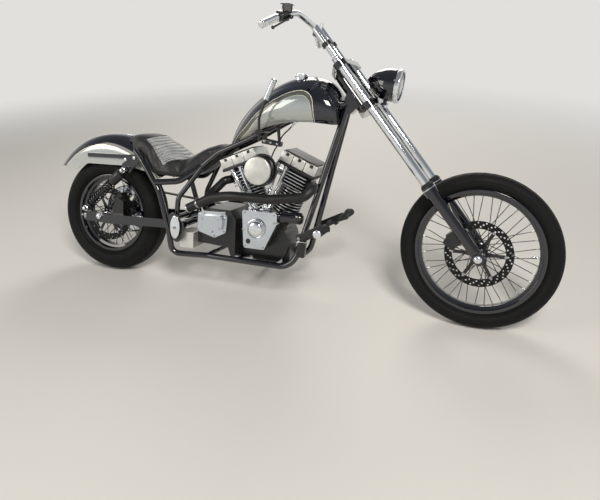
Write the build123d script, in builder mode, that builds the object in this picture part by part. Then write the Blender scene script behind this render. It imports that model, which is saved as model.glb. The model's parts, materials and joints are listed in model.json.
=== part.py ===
from build123d import *
from collections import namedtuple
from math import atan2, cos, degrees, hypot, radians, sin, sqrt, tan
import os

# A long-forked chopper motorcycle, in millimetres. Every piece is drawn with the
# machine upright: X forward, Y to the rider's left, Z up, ground at Z = 0 and the
# rear axle above the origin. At the end it is leaned over onto its side stand.

# Stance
wheelbase = 1945
rake = 39
lean = 12.6

# Clearances
seat_gap = 0.2
run_gap = 0.3

UP = Vector(0, 0, 1)
LEFT = Vector(0, 1, 0)
RIGHT, BOTH = -1, (-1, 1)
lean_sin, lean_cos = sin(radians(lean)), cos(radians(lean))

# Wheels: tyre radius, half width, crown radius and shoulder, bead seat radius and
# half width, hub flange place and radius, spoke radius, disc side face
Wheel = namedtuple(
    "Wheel",
    "axle_x tyre_r tyre_half crown_r shoulder bead_r bead_half flange_at flange_r spoke_r hub_right hub_left",
)
front = Wheel(wheelbase, 350, 46, 50, 38, 267, 30, 30, 38, 1.8, 60, 56)
rear = Wheel(0, 323, 75, 80, 62, 203, 50, 36, 46, 2.0, 66, 84.8)
tyre_wall = 9
rim_wall = 4
rim_well = 14
rim_lip = 12
spoke_count = 40
spoke_cross = 62
axle_r = 10
axle_bore_r = 6


def axle_height(wheel):
    """Height of an axle, so that the leaned tyre's crown just meets the ground."""
    return wheel.tyre_r + wheel.crown_r * (1 - lean_cos) / lean_cos


front_z, rear_z = axle_height(front), axle_height(rear)

# Fork and steering head, measured along the fork tubes up from the front axle
fork_half = 124
fork_tube_r = 20.5
fork_tube_top = 1062
leg_r = 24
leg_foot = -30
leg_top = 366
collar_r = 31
collar_height = 44
leg_socket = 60
stem_offset = 55
stem_r = 12.7
neck_r = 27
neck_low, neck_high = 836, 1000
lower_tree_at, lower_tree_thick = 804, 34
upper_tree_at, upper_tree_thick = 1026, 30
tree_clamp_r = 31
tree_hub_r = 30

# Frame tubes
rail_r = 15
backbone_r = 16
rail_half = 118
upright_half = 163
upright_r = 14

# Swingarm and its pivot
pivot_x, pivot_z = 500, 332
arm_inner, arm_thick = 124.5, 22.5
pivot_pin_r = 12

# Engine
crank_x, crank_z = 947, 281
v_half_angle = 22.5
case_r = 112
case_half = 62
deck_at = 128
barrel_r = 51.5
barrel_top = 300
fin_first, fin_pitch, fin_thick, fin_count, fin_r = 146, 15, 4, 11, 71
head_top = 396
rocker_layers, rocker_layer, rocker_groove = 3, 24, 1.6
rocker_long, rocker_wide, rocker_shift = 190, 172, -9
chest_right = 120
cam_cover_right = 150
air_cleaner_x, air_cleaner_z, air_cleaner_r = 943, 649, 70
air_cleaner_back, air_cleaner_face = 150, 210

fork_up = Vector(-sin(radians(rake)), 0, cos(radians(rake)))
fork_back = Vector(-cos(radians(rake)), 0, -sin(radians(rake)))
front_axle = Vector(wheelbase, 0, front_z)


def on_fork(along, side=0, behind=0):
    """A point placed from the front axle: along the fork, to the left and behind it."""
    return front_axle + fork_up * along + LEFT * side + fork_back * behind


def fork_plane(along, side=0, behind=0):
    """A plane square to the fork, with X to the left and Y towards the rider."""
    return Plane(on_fork(along, side, behind), x_dir=LEFT, z_dir=fork_up)


def side_plane(side):
    """An upright plane at a distance to the left, with X forward and Y up, facing right."""
    return Plane((0, side, 0), x_dir=(1, 0, 0), z_dir=(0, -1, 0))


def slab(outline, left, right, corner=0):
    """A plate with a side outline of X and Z points, from its left face to its right."""
    with BuildPart() as plate:
        with BuildSketch(side_plane(left)):
            with BuildLine():
                if corner:
                    FilletPolyline(*outline, radius=corner, close=True)
                else:
                    Polyline(*outline, close=True)
            make_face()
        extrude(amount=left - right)
    return plate.part


def bent_tube(points, radii, outer_r, inner_r=0):
    """A round tube of straight runs joined by arcs, solid or with a bore."""
    with BuildPart() as tube:
        with BuildLine() as route:
            if len(points) > 2:
                FilletPolyline(*points, radius=radii)
            else:
                Line(*points)
        with BuildSketch(Plane(route.line @ 0, z_dir=route.line % 0)):
            Circle(outer_r)
            if inner_r:
                Circle(inner_r, mode=Mode.SUBTRACT)
        sweep()
    return tube.part


def rod(start, end, radius):
    """A straight round bar between two points."""
    start, end = Vector(*start), Vector(*end)
    with BuildPart() as bar:
        with BuildSketch(Plane(start, z_dir=end - start)):
            Circle(radius)
        extrude(amount=(end - start).length)
    return bar.part


def cross_rod(x, z, side_a, side_b, radius, inner_r=0):
    """A round bar or tube across the machine, from one side distance to another."""
    with BuildPart() as bar:
        with BuildSketch(Plane((x, side_a, z), x_dir=(1, 0, 0), z_dir=(0, 1, 0))):
            Circle(radius)
            if inner_r:
                Circle(inner_r, mode=Mode.SUBTRACT)
        extrude(amount=side_b - side_a)
    return bar.part


def both_sides(piece):
    """A piece and its mirror image on the other side."""
    return [piece, piece.mirror(Plane.XZ)]


def axle_line(wheel):
    """The line that a wheel turns on."""
    return Axis((wheel.axle_x, 0, axle_height(wheel)), LEFT)


def wheel_section(wheel):
    """A plane through the axle, with X to the left and Y out to the tyre's crown."""
    return Plane((wheel.axle_x, 0, axle_height(wheel)), x_dir=LEFT, z_dir=(1, 0, 0))


def tyre_body(wheel):
    """A hollow tyre: a crown arc, two sidewall arcs and two beads."""
    shoulder_v = wheel.tyre_r - wheel.crown_r + sqrt(wheel.crown_r**2 - wheel.shoulder**2)
    bead_v = wheel.bead_r + seat_gap
    bulge_v = (shoulder_v + wheel.bead_r) / 2 + 4
    lip_v = wheel.bead_r + rim_lip + 2
    half, bead = wheel.tyre_half, wheel.bead_half
    with BuildPart() as tyre:
        with BuildSketch(wheel_section(wheel)):
            with BuildLine():
                ThreePointArc(
                    (-wheel.shoulder, shoulder_v), (0, wheel.tyre_r), (wheel.shoulder, shoulder_v)
                )
                ThreePointArc(
                    (-wheel.shoulder + tyre_wall / 2, shoulder_v - tyre_wall),
                    (0, wheel.tyre_r - tyre_wall),
                    (wheel.shoulder - tyre_wall / 2, shoulder_v - tyre_wall),
                )
                for way in BOTH:
                    Polyline(
                        (way * bead, lip_v),
                        (way * bead, bead_v),
                        (way * (bead - tyre_wall), bead_v),
                        (way * (bead - tyre_wall), lip_v),
                    )
                    ThreePointArc(
                        (way * bead, lip_v), (way * half, bulge_v), (way * wheel.shoulder, shoulder_v)
                    )
                    ThreePointArc(
                        (way * (bead - tyre_wall), lip_v),
                        (way * (half - tyre_wall), bulge_v),
                        (way * (wheel.shoulder - tyre_wall / 2), shoulder_v - tyre_wall),
                    )
            make_face()
        revolve(axis=axle_line(wheel))
    return tyre.part


def spoke_plane(wheel, place):
    """Where one spoke leaves the hub, and how long it is to the rim."""
    way = 1 if place % 2 else -1
    trail = 1 if (place // 2) % 2 else -1
    rim_turn = radians(place * 360 / spoke_count)
    hub_turn = rim_turn + trail * radians(spoke_cross)
    hub_side = way * (wheel.flange_at + trail * 3.5)
    root_r = wheel.flange_r - 4
    tip_r = wheel.bead_r - rim_well - rim_wall / 2
    centre = Vector(wheel.axle_x, 0, axle_height(wheel))
    root = centre + Vector(root_r * cos(hub_turn), hub_side, root_r * sin(hub_turn))
    tip = centre + Vector(tip_r * cos(rim_turn), way * 5, tip_r * sin(rim_turn))
    return Plane(root, z_dir=tip - root), (tip - root).length


def wire_wheel(wheel):
    """A drop-centre rim, a flanged hub and crossed wire spokes."""
    seat, lip = wheel.bead_half + 1, wheel.bead_half + 5
    well = wheel.bead_half * 0.45
    bore = axle_r + run_gap
    with BuildPart() as body:
        with BuildSketch(wheel_section(wheel)):
            with BuildLine():
                Polyline(
                    (0, wheel.bead_r - rim_well),
                    (well, wheel.bead_r - rim_well),
                    (well + 5, wheel.bead_r),
                    (seat, wheel.bead_r),
                    (seat, wheel.bead_r + rim_lip),
                    (lip, wheel.bead_r + rim_lip),
                    (lip, wheel.bead_r - rim_wall),
                    (well + 9, wheel.bead_r - rim_wall),
                    (well + 3, wheel.bead_r - rim_well - rim_wall),
                    (0, wheel.bead_r - rim_well - rim_wall),
                )
                mirror(about=Plane.YZ)
            make_face()
        revolve(axis=axle_line(wheel))
        with BuildSketch(wheel_section(wheel)):
            with BuildLine():
                Polyline(
                    (-wheel.hub_right, bore),
                    (-wheel.hub_right, wheel.flange_r - 6),
                    (-wheel.flange_at - 6, wheel.flange_r - 6),
                    (-wheel.flange_at - 6, wheel.flange_r),
                    (-wheel.flange_at + 2, wheel.flange_r),
                    (-wheel.flange_at + 10, wheel.flange_r - 14),
                    (wheel.flange_at - 10, wheel.flange_r - 14),
                    (wheel.flange_at - 2, wheel.flange_r),
                    (wheel.flange_at + 6, wheel.flange_r),
                    (wheel.flange_at + 6, wheel.flange_r - 6),
                    (wheel.hub_left, wheel.flange_r - 6),
                    (wheel.hub_left, bore),
                    close=True,
                )
            make_face()
        revolve(axis=axle_line(wheel))
        for lot in range(4):
            for place in range(lot, spoke_count, 4):
                plane, length = spoke_plane(wheel, place)
                with BuildSketch(plane):
                    RegularPolygon(wheel.spoke_r, 6)
            extrude(amount=length)
    return body.part


# Brake discs
disc_r, disc_band, disc_thick, disc_arms = 146, 34, 5, 6
disc_centre_r = 30


def brake_disc(wheel):
    """A ring carried on arms, bolted to the hub's right end."""
    inner = -wheel.hub_right - seat_gap
    with BuildPart() as disc:
        with BuildSketch(
            Plane((wheel.axle_x, inner, axle_height(wheel)), x_dir=(1, 0, 0), z_dir=(0, -1, 0))
        ):
            Circle(disc_r)
            Circle(disc_r - disc_band, mode=Mode.SUBTRACT)
            Circle(disc_centre_r)
            with PolarLocations((disc_r - disc_band + disc_centre_r) / 2, disc_arms):
                Rectangle(disc_r - disc_band - disc_centre_r + 12, 16)
            Circle(axle_r + 6, mode=Mode.SUBTRACT)
        extrude(amount=disc_thick)
    return disc.part



parts = {}


def finish(name, piece):
    """Labels a finished piece and leans it onto the side stand."""
    placed = piece.rotate(Axis.X, -lean).translate((0, -contact_side, 0))
    placed.label = name
    parts[name] = placed


contact_side = (rear_z - rear.tyre_r + rear.crown_r) * lean_sin

# Wheels
finish("front_tyre", tyre_body(front))
finish("rear_tyre", tyre_body(rear))
finish("front_wire_wheel", wire_wheel(front))
finish("rear_wire_wheel", wire_wheel(rear))
finish("front_brake_disc", brake_disc(front))
finish("rear_brake_disc", brake_disc(rear))

# Rear pulley and drive belt
pulley_r, sprocket_r = 130, 62
belt_side, belt_wide, belt_thick, belt_gap = 86, 36, 4, 0.3
sprocket_x, sprocket_z = 640, 345
belt_end = belt_side + belt_wide

with BuildPart() as rear_pulley:
    with BuildSketch(Plane((0, rear.hub_left + seat_gap, rear_z), x_dir=(1, 0, 0), z_dir=LEFT)):
        Circle(pulley_r - 12)
        Circle(axle_r + 6, mode=Mode.SUBTRACT)
        with PolarLocations(76, 5):
            Circle(24, mode=Mode.SUBTRACT)
    extrude(amount=12)
    with BuildSketch(Plane((0, rear.hub_left + seat_gap, rear_z), x_dir=(1, 0, 0), z_dir=LEFT)):
        Circle(pulley_r)
        Circle(pulley_r - 14, mode=Mode.SUBTRACT)
    extrude(amount=belt_end - rear.hub_left)
finish("rear_pulley", rear_pulley.part)

with BuildPart() as front_sprocket:
    with BuildSketch(Plane((sprocket_x, belt_side, sprocket_z), x_dir=(1, 0, 0), z_dir=LEFT)):
        Circle(sprocket_r)
    extrude(amount=belt_wide)
finish("front_sprocket", front_sprocket.part)


def belt_loop(gap):
    """The closed outline round both pulleys, a gap outside their rims."""
    with BuildSketch(Plane((0, belt_side, 0), x_dir=(1, 0, 0), z_dir=(0, -1, 0))) as loop:
        with Locations((0, rear_z)):
            Circle(pulley_r + gap)
        with Locations((sprocket_x, sprocket_z)):
            Circle(sprocket_r + gap)
        make_hull()
    return loop.sketch


with BuildPart() as drive_belt:
    extrude(belt_loop(belt_gap + belt_thick), amount=belt_wide, dir=LEFT)
    extrude(belt_loop(belt_gap), amount=belt_wide, dir=LEFT, mode=Mode.SUBTRACT)
finish("drive_belt", drive_belt.part)

# Fork
with BuildPart() as fork_tubes:
    for side in BOTH:
        with BuildSketch(fork_plane(leg_top - leg_socket, side * fork_half)):
            Circle(fork_tube_r)
    extrude(amount=fork_tube_top - leg_top + leg_socket)
    chamfer(fork_tubes.faces().sort_by(Axis.Z)[-2:].edges(), 3)
finish("fork_tubes", fork_tubes.part)

with BuildPart() as fork_lower_legs:
    for side in BOTH:
        with BuildSketch(fork_plane(leg_foot, side * fork_half)):
            Circle(leg_r)
    extrude(amount=leg_top - leg_foot)
    for side in BOTH:
        with BuildSketch(fork_plane(leg_top - collar_height, side * fork_half)):
            Circle(collar_r)
    extrude(amount=collar_height)
    for side in BOTH:
        add(
            cross_rod(
                wheelbase, front_z, side * (fork_half - leg_r - 2), side * (fork_half + leg_r + 2), leg_r + 2
            )
        )
    for side in BOTH:
        with BuildSketch(fork_plane(leg_top, side * fork_half)):
            Circle(fork_tube_r + seat_gap)
    extrude(amount=-leg_socket - seat_gap, mode=Mode.SUBTRACT)
    add(
        cross_rod(wheelbase, front_z, -2 * fork_half, 2 * fork_half, axle_r + seat_gap),
        mode=Mode.SUBTRACT,
    )
finish("fork_lower_legs", fork_lower_legs.part)

with BuildPart() as front_axle_set:
    leg_inner = fork_half - leg_r - 2
    leg_outer = fork_half + leg_r + 2
    with BuildSketch(Plane((wheelbase, -leg_outer - 14, front_z), z_dir=LEFT)):
        Circle(axle_r)
    extrude(amount=2 * (leg_outer + 14))
    for start, end in ((-leg_inner, -front.hub_right - run_gap), (front.hub_left + run_gap, leg_inner)):
        add(cross_rod(wheelbase, front_z, start, end, 15))
    for side in BOTH:
        with BuildSketch(Plane((wheelbase, side * leg_outer, front_z), z_dir=LEFT * side)):
            RegularPolygon(15, 6)
    extrude(amount=10)
    add(
        cross_rod(wheelbase, front_z, -2 * fork_half, 2 * fork_half, axle_bore_r), mode=Mode.SUBTRACT
    )
finish("front_axle", front_axle_set.part)


def tree_outline(along):
    """The outline of a fork yoke: two clamps and a hub, hulled together."""
    with BuildSketch(fork_plane(along)) as outline:
        with Locations((-fork_half, 0), (fork_half, 0)):
            Circle(tree_clamp_r)
        with Locations((0, stem_offset)):
            Circle(tree_hub_r)
        make_hull()
    return outline.sketch


def tube_bores(along):
    """The round holes that hold the fork tubes in a yoke."""
    with BuildSketch(fork_plane(along)) as bores:
        with Locations((-fork_half, 0), (fork_half, 0)):
            Circle(fork_tube_r + seat_gap)
    return bores.sketch


lower_tree_low = lower_tree_at - lower_tree_thick / 2
lower_tree_top = lower_tree_at + lower_tree_thick / 2
upper_tree_low = upper_tree_at - upper_tree_thick / 2
upper_tree_top = upper_tree_at + upper_tree_thick / 2
lamp_x, lamp_z, lamp_drop = 1544, 1064, 9
lamp_r, lamp_deep, bowl_deep, lamp_tip = 74, 148, 56, 7
lens_r = lamp_r - 6.2
lamp_stub_x, lamp_stub_low = 1484, 988

with BuildPart() as lower_tree:
    extrude(tree_outline(lower_tree_low), amount=lower_tree_thick, dir=fork_up)
    extrude(tube_bores(lower_tree_low), amount=lower_tree_thick, dir=fork_up, mode=Mode.SUBTRACT)
    with BuildSketch(fork_plane(lower_tree_top, 0, stem_offset)):
        Circle(neck_r - 1)
    extrude(amount=neck_low - run_gap - lower_tree_top)
    with BuildSketch(fork_plane(lower_tree_top, 0, stem_offset)):
        Circle(stem_r)
    extrude(amount=upper_tree_top + 8 - lower_tree_top)
    with BuildSketch(Plane.XY.offset(lamp_stub_low - seat_gap - 10)):
        with Locations((lamp_stub_x - 16, 0)):
            Rectangle(56, 36)
    extrude(amount=10)
finish("lower_triple_tree", lower_tree.part)

with BuildPart() as upper_tree:
    extrude(tree_outline(upper_tree_low), amount=upper_tree_thick, dir=fork_up)
    with BuildSketch(fork_plane(neck_high + run_gap, 0, stem_offset)):
        Circle(neck_r - 1)
    extrude(amount=upper_tree_low - neck_high - run_gap)
    extrude(tube_bores(upper_tree_low), amount=upper_tree_thick, dir=fork_up, mode=Mode.SUBTRACT)
    with BuildSketch(fork_plane(neck_high, 0, stem_offset)):
        Circle(stem_r + seat_gap)
    extrude(amount=upper_tree_top - neck_high, mode=Mode.SUBTRACT)
finish("upper_triple_tree", upper_tree.part)

# Headlight
lamp_ahead = Vector(cos(radians(lamp_drop)), 0, -sin(radians(lamp_drop)))
lamp_centre = Vector(lamp_x, 0, lamp_z)
lamp_section = Plane(lamp_centre, x_dir=lamp_ahead, z_dir=LEFT)
lamp_line = Axis(lamp_centre, lamp_ahead)

with BuildPart() as headlight_shell:
    with BuildSketch(lamp_section):
        with BuildLine():
            Line((-lamp_deep, 0), (-lamp_deep, lamp_tip))
            ThreePointArc((-lamp_deep, lamp_tip), (-lamp_deep * 0.76, lamp_r * 0.66), (-12, lamp_r))
            Line((-12, lamp_r), (-8, lamp_r + 4))
            Line((-8, lamp_r + 4), (4, lamp_r + 5))
            ThreePointArc((4, lamp_r + 5), (9, lamp_r), (6, lamp_r - 6))
            Line((6, lamp_r - 6), (0, lamp_r - 6))
            ThreePointArc((0, lamp_r - 6), (-bowl_deep * 0.66, lamp_r * 0.56), (-bowl_deep, lamp_tip))
            Polyline((-bowl_deep, lamp_tip), (-bowl_deep, 0), (-lamp_deep, 0))
        make_face()
    revolve(axis=lamp_line)
    add(rod((lamp_stub_x, 0, lamp_stub_low), (lamp_stub_x, 0, lamp_z - 30), 9))
finish("headlight_shell", headlight_shell.part)

with BuildPart() as headlight_lens:
    with BuildSketch(lamp_section):
        with BuildLine():
            Polyline((14, lamp_tip), (14, 0), (seat_gap, 0), (seat_gap, lens_r), (3, lens_r))
            ThreePointArc((3, lens_r), (11, lens_r * 0.54), (14, lamp_tip))
        make_face()
    revolve(axis=lamp_line)
finish("headlight_lens", headlight_lens.part)

# Handlebar
riser_half, riser_r, riser_behind, riser_top = 44, 18, 11, 1262
bar_r, grip_r, grip_start = 14, 17.5, 16
bar_bend = Vector(1105, 180, 1368)
bar_sweep = Vector(1050, 270, 1337)
bar_end = Vector(1027, 385, 1290)
riser_peak = on_fork(riser_top, riser_half, riser_behind)
bar_half_route = [riser_peak, bar_bend, bar_sweep, bar_end]
bar_route = [(p.X, -p.Y, p.Z) for p in reversed(bar_half_route)] + [
    (p.X, p.Y, p.Z) for p in bar_half_route
]
bar_radii = [60, 70, 40, 40, 70, 60]

with BuildPart() as handlebar:
    add(bent_tube(bar_route, bar_radii, bar_r))
    for side in BOTH:
        with BuildSketch(fork_plane(upper_tree_top, side * riser_half, riser_behind)):
            Circle(riser_r)
    extrude(amount=riser_top - upper_tree_top)
    for side in BOTH:
        with BuildSketch(fork_plane(upper_tree_top, side * riser_half, riser_behind)):
            Circle(riser_r + 6)
    extrude(amount=14)
finish("handlebar", handlebar.part)

grip_ahead = (bar_end - bar_sweep).normalized()
with BuildPart() as left_grip:
    with BuildSketch(Plane(bar_sweep + grip_ahead * grip_start, z_dir=grip_ahead)):
        Circle(grip_r)
    extrude(amount=(bar_end - bar_sweep).length - grip_start + 6)
    with BuildSketch(Plane(bar_sweep + grip_ahead * grip_start, z_dir=grip_ahead)):
        Circle(bar_r + seat_gap)
    extrude(amount=(bar_end - bar_sweep).length - grip_start + seat_gap, mode=Mode.SUBTRACT)
finish("hand_grips", Compound(both_sides(left_grip.part)))

# Side stand: a pivot under the left lower rail and a leg down to the ground
stand_pivot = Vector(800, 128, 146)
stand_line = Vector(0, 64, 194).normalized()
stand_reach, stand_foot_side = 38, 322
foot_up = Vector(0, -lean_sin, lean_cos)
foot_ground = Vector(
    stand_pivot.X + stand_reach, stand_foot_side, stand_foot_side * lean_sin / lean_cos
)
stand_pin_r, stand_eye_r, stand_leg_r, foot_r, foot_thick = 8, 16, 9, 22, 7


def stand_disc(start, thick, radius):
    """A disc round the stand's hinge line, from a height along it."""
    return rod(stand_pivot + stand_line * start, stand_pivot + stand_line * (start + thick), radius)


# Frame: neck, backbone, downtubes, lower rails and rear uprights
neck_axis_low = on_fork(neck_low, 0, stem_offset)
with BuildPart() as neck:
    with BuildSketch(fork_plane(neck_low, 0, stem_offset)):
        Circle(neck_r)
        Circle(stem_r + run_gap, mode=Mode.SUBTRACT)
    extrude(amount=neck_high - neck_low)

with BuildPart() as neck_room:
    with BuildSketch(fork_plane(neck_low - 40, 0, stem_offset)):
        Circle(neck_r + seat_gap)
    extrude(amount=neck_high - neck_low + 80)

down_top = Vector(1318, 16, 985)
down_foot = Vector(1108, rail_half, 184)
rail_flare = (640, rail_half, 184)
rail_tail = Vector(462, 154, 184)
upright_knee = Vector(440, upright_half, 324)
down_split = down_top + (down_foot - down_top) * 0.8
tail_split = rail_tail + (upright_knee - rail_tail) * 0.55
rail_route = [down_split, down_foot, rail_flare, rail_tail, tail_split]
rail_radii = [95, 150, 45]
upright_route = [
    tail_split,
    upright_knee,
    (380, upright_half, 506),
    (272, 150, 644),
    (213, 128, 692),
]
upright_radii = [150, 120, 60]
backbone_route = [
    (1345, 14, 992),
    (1010, 44, 886),
    (838, 58, 786),
    (668, 66, 706),
    (585, 86, 630),
    (480, 132, 552),
    (358, upright_half, 541),
]
backbone_radii = [400, 400, 120, 90, 90]
upright_tube = bent_tube(upright_route, upright_radii, upright_r)
upright_room = bent_tube(upright_route, upright_radii, upright_r + seat_gap)
backbone_tube = bent_tube(backbone_route, backbone_radii, backbone_r)
backbone_room = both_sides(bent_tube(backbone_route, backbone_radii, backbone_r + seat_gap))
rail_room = both_sides(bent_tube(rail_route, rail_radii, rail_r + seat_gap))
down_room = both_sides(rod(down_top, down_split, rail_r + seat_gap)) + rail_room

neck_casting = slab(
    [(1371, 968), (1330, 928), (1304, 926), (1300, 1000), (1316, 1046), (1345, 1012)], 32, -32, 6
)
with BuildPart() as backbone:
    add(neck.part)
    add(neck_casting)
    add(both_sides(backbone_tube))
    add(both_sides(upright_room), mode=Mode.SUBTRACT)
    with BuildSketch(fork_plane(neck_low, 0, stem_offset)):
        Circle(stem_r + run_gap)
    extrude(amount=neck_high - neck_low, mode=Mode.SUBTRACT)
finish("frame_backbone", backbone.part)

with BuildPart() as downtubes:
    add(both_sides(rod(down_top, down_split, rail_r)))
    add(backbone.part, mode=Mode.SUBTRACT)
    add(neck_room.part, mode=Mode.SUBTRACT)
finish("frame_downtubes", downtubes.part)
finish("frame_lower_rails", Compound(both_sides(bent_tube(rail_route, rail_radii, rail_r))))
finish("frame_rear_uprights", Compound(both_sides(upright_tube)))

# Seat stays with their pivot plates
stay_r, stay_side = 13, 146
stay_route = [(588, 92, 626), (488, stay_side, 470), (480, stay_side, 372)]
plate_inner, plate_thick = 180, 8
with BuildPart() as pivot_stays:
    add(both_sides(bent_tube(stay_route, [60], stay_r)))
    add(backbone_room, mode=Mode.SUBTRACT)
    for way in BOTH:
        add(cross_rod(480, 372, way * (stay_side - stay_r), way * (plate_inner + 2), stay_r))
    for way in BOTH:
        with BuildSketch(side_plane(way * plate_inner)):
            with Locations((480, 372), (508, 280), (pivot_x + 22, pivot_z)):
                Circle(26)
            make_hull()
        extrude(amount=-way * plate_thick)
    for way in BOTH:
        with BuildSketch(side_plane(way * (plate_inner + plate_thick))):
            with Locations((504, 331)):
                Ellipse(25, 64)
        extrude(amount=-way * 10)
    for way in BOTH:
        add(cross_rod(pivot_x, pivot_z, way * 118, way * (plate_inner + 4), pivot_pin_r))
finish("frame_pivot_stays", pivot_stays.part)

# Cross tubes of the cradle: X, Z, and the reach of the engine pad on top; and the
# bracket under the left rail that the side stand hangs from
cross_r, pad_top = 12, 199.8
cradle_tubes = [(640, 184, 0), (812, 184, 38), (1044, 184, 18)]
with BuildPart() as cradle:
    for x, z, reach in cradle_tubes:
        add(cross_rod(x, z, -rail_half, rail_half, cross_r))
        if reach:
            add(slab([(x - reach, z), (x + reach, z), (x + reach, pad_top), (x - reach, pad_top)], 50, -50))
    add(stand_disc(1, 13, stand_eye_r + 2))
    add(slab([(784, 153), (816, 153), (816, 176), (784, 176)], 138, 112))
    add(stand_disc(-14, 20, stand_pin_r))
    add(stand_disc(-18, 5, stand_pin_r + 5))
    add(rail_room, mode=Mode.SUBTRACT)
finish("frame_cradle", cradle.part)

# Swingarm, rear axle and shock absorbers
arm_outer = arm_inner + arm_thick
arm_outline = [
    (-104, 294), (-104, 342), (-36, 346), (40, 338), (470, 353), (524, 353), (524, 312), (60, 289),
]
shock_side, shock_low, shock_high = 152, (-80, 362), (160, 586)
eye_r, eye_wide, shock_pin_r = 15, 26, 7
with BuildPart() as swingarm:
    for left, right in ((arm_outer, arm_inner), (-arm_inner, -arm_outer)):
        add(slab(arm_outline, left, right, 9))
    add(cross_rod(396, 336, -arm_inner, arm_inner, 15))
    add(cross_rod(pivot_x, pivot_z, -arm_inner, arm_inner, 19))
    for way in BOTH:
        add(cross_rod(*shock_low, way * arm_inner, way * (shock_side + eye_wide / 2 + 4), shock_pin_r))
        lug = [(-98, 335), (-98, 376), (-62, 376), (-62, 335)]
        add(slab(lug, *sorted((way * arm_inner, way * (shock_side - eye_wide / 2 - 1)), reverse=True)))
    add(cross_rod(0, rear_z, -200, 200, axle_r + seat_gap), mode=Mode.SUBTRACT)
    add(cross_rod(pivot_x, pivot_z, -200, 200, pivot_pin_r + seat_gap), mode=Mode.SUBTRACT)
finish("swingarm", swingarm.part)

with BuildPart() as rear_axle_set:
    add(cross_rod(0, rear_z, -arm_outer - 14, arm_outer + 14, axle_r))
    add(cross_rod(0, rear_z, -arm_inner + seat_gap, -rear.hub_right - run_gap, 15))
    add(cross_rod(0, rear_z, rear.hub_left + run_gap, arm_inner - seat_gap, 15))
    for way in BOTH:
        with BuildSketch(side_plane(way * (arm_outer + seat_gap))):
            with Locations((0, rear_z)):
                RegularPolygon(16, 6)
        extrude(amount=-way * 10)
    add(cross_rod(0, rear_z, -200, 200, axle_bore_r), mode=Mode.SUBTRACT)
finish("rear_axle", rear_axle_set.part)


def shock(side):
    """One shock absorber between its two eyes: a rod, a sprung body and a top cover."""
    low = Vector(shock_low[0], side, shock_low[1])
    high = Vector(shock_high[0], side, shock_high[1])
    along = (high - low).normalized()
    length = (high - low).length
    half = eye_wide / 2
    with BuildPart() as body:
        for start, end, radius in ((8, length - 8, 11), (40, length - 60, 22), (length - 150, length - 24, 27), (34, 52, 27)):
            add(rod(low + along * start, low + along * end, radius))
        for eye in (shock_low, shock_high):
            add(cross_rod(*eye, side - half, side + half, eye_r))
        for eye in (shock_low, shock_high):
            add(cross_rod(*eye, side - half, side + half, shock_pin_r + seat_gap), mode=Mode.SUBTRACT)
    return body.part


finish("shock_absorbers", Compound([shock(shock_side), shock(-shock_side)]))

# Rear fender and its struts
fender_r, fender_half, fender_wall = 443, 96, 3
fender_start, fender_arc = 156, 122
fender_cut = [
    (-600, 606), (-400, 604), (-352, 582), (-238, 546), (-204, 550), (-165, 586), (-110, 598),
    (140, 602), (250, 582), (350, 552), (600, 552), (600, 0), (-600, 0),
]
strut_inner, strut_thick = fender_half + seat_gap, 10


def fender_plane(turn):
    """A plane through the rear axle with Y pointing out at an angle up from ahead."""
    a = radians(turn)
    return Plane((0, 0, rear_z), x_dir=LEFT, z_dir=(sin(a), 0, -cos(a)))


def fender_skin(radius, half):
    """The arch of a fender's outer or inner skin: two sides, two corners and a crown."""
    side_top, corner, edge = radius - 52, radius - 16, half - 14
    Line((-half, 250), (-half, side_top))
    ThreePointArc((-half, side_top), (-edge, corner), (-half + 46, radius - 4))
    ThreePointArc((-half + 46, radius - 4), (0, radius), (half - 46, radius - 4))
    ThreePointArc((half - 46, radius - 4), (edge, corner), (half, side_top))
    Line((half, side_top), (half, 250))


with BuildPart() as rear_fender:
    with BuildSketch(fender_plane(fender_start)):
        with BuildLine():
            fender_skin(fender_r, fender_half)
            fender_skin(fender_r - fender_wall, fender_half - fender_wall)
            Line((-fender_half, 250), (-fender_half + fender_wall, 250))
            Line((fender_half, 250), (fender_half - fender_wall, 250))
        make_face()
    revolve(axis=Axis((0, 0, rear_z), LEFT), revolution_arc=fender_arc)
    add(slab(fender_cut, 200, -200, 8), mode=Mode.SUBTRACT)
finish("rear_fender", rear_fender.part)

# Each side's strut: a bar on the fender, a plate down to the shock and its pin
strut_bar = [(-112, 634), (-112, 656), (60, 661), (236, 668), (236, 640), (60, 639)]
mount_plate = [(132, 612), (196, 668), (238, 668), (238, 636), (184, 572), (146, 566)]
plate_side = 126
with BuildPart() as fender_strut:
    add(slab(strut_bar, strut_inner + strut_thick, strut_inner, 7))
    add(slab(mount_plate, plate_side + 8, plate_side, 10))
    for x, z in ((214, 652), (160, 640)):
        add(cross_rod(x, z, strut_inner + 2, plate_side + 4, 10))
    add(cross_rod(*shock_high, plate_side + 2, shock_side + eye_wide / 2 + 4, shock_pin_r))
    add(upright_room, mode=Mode.SUBTRACT)
finish("fender_struts", Compound(both_sides(fender_strut.part)))

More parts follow.
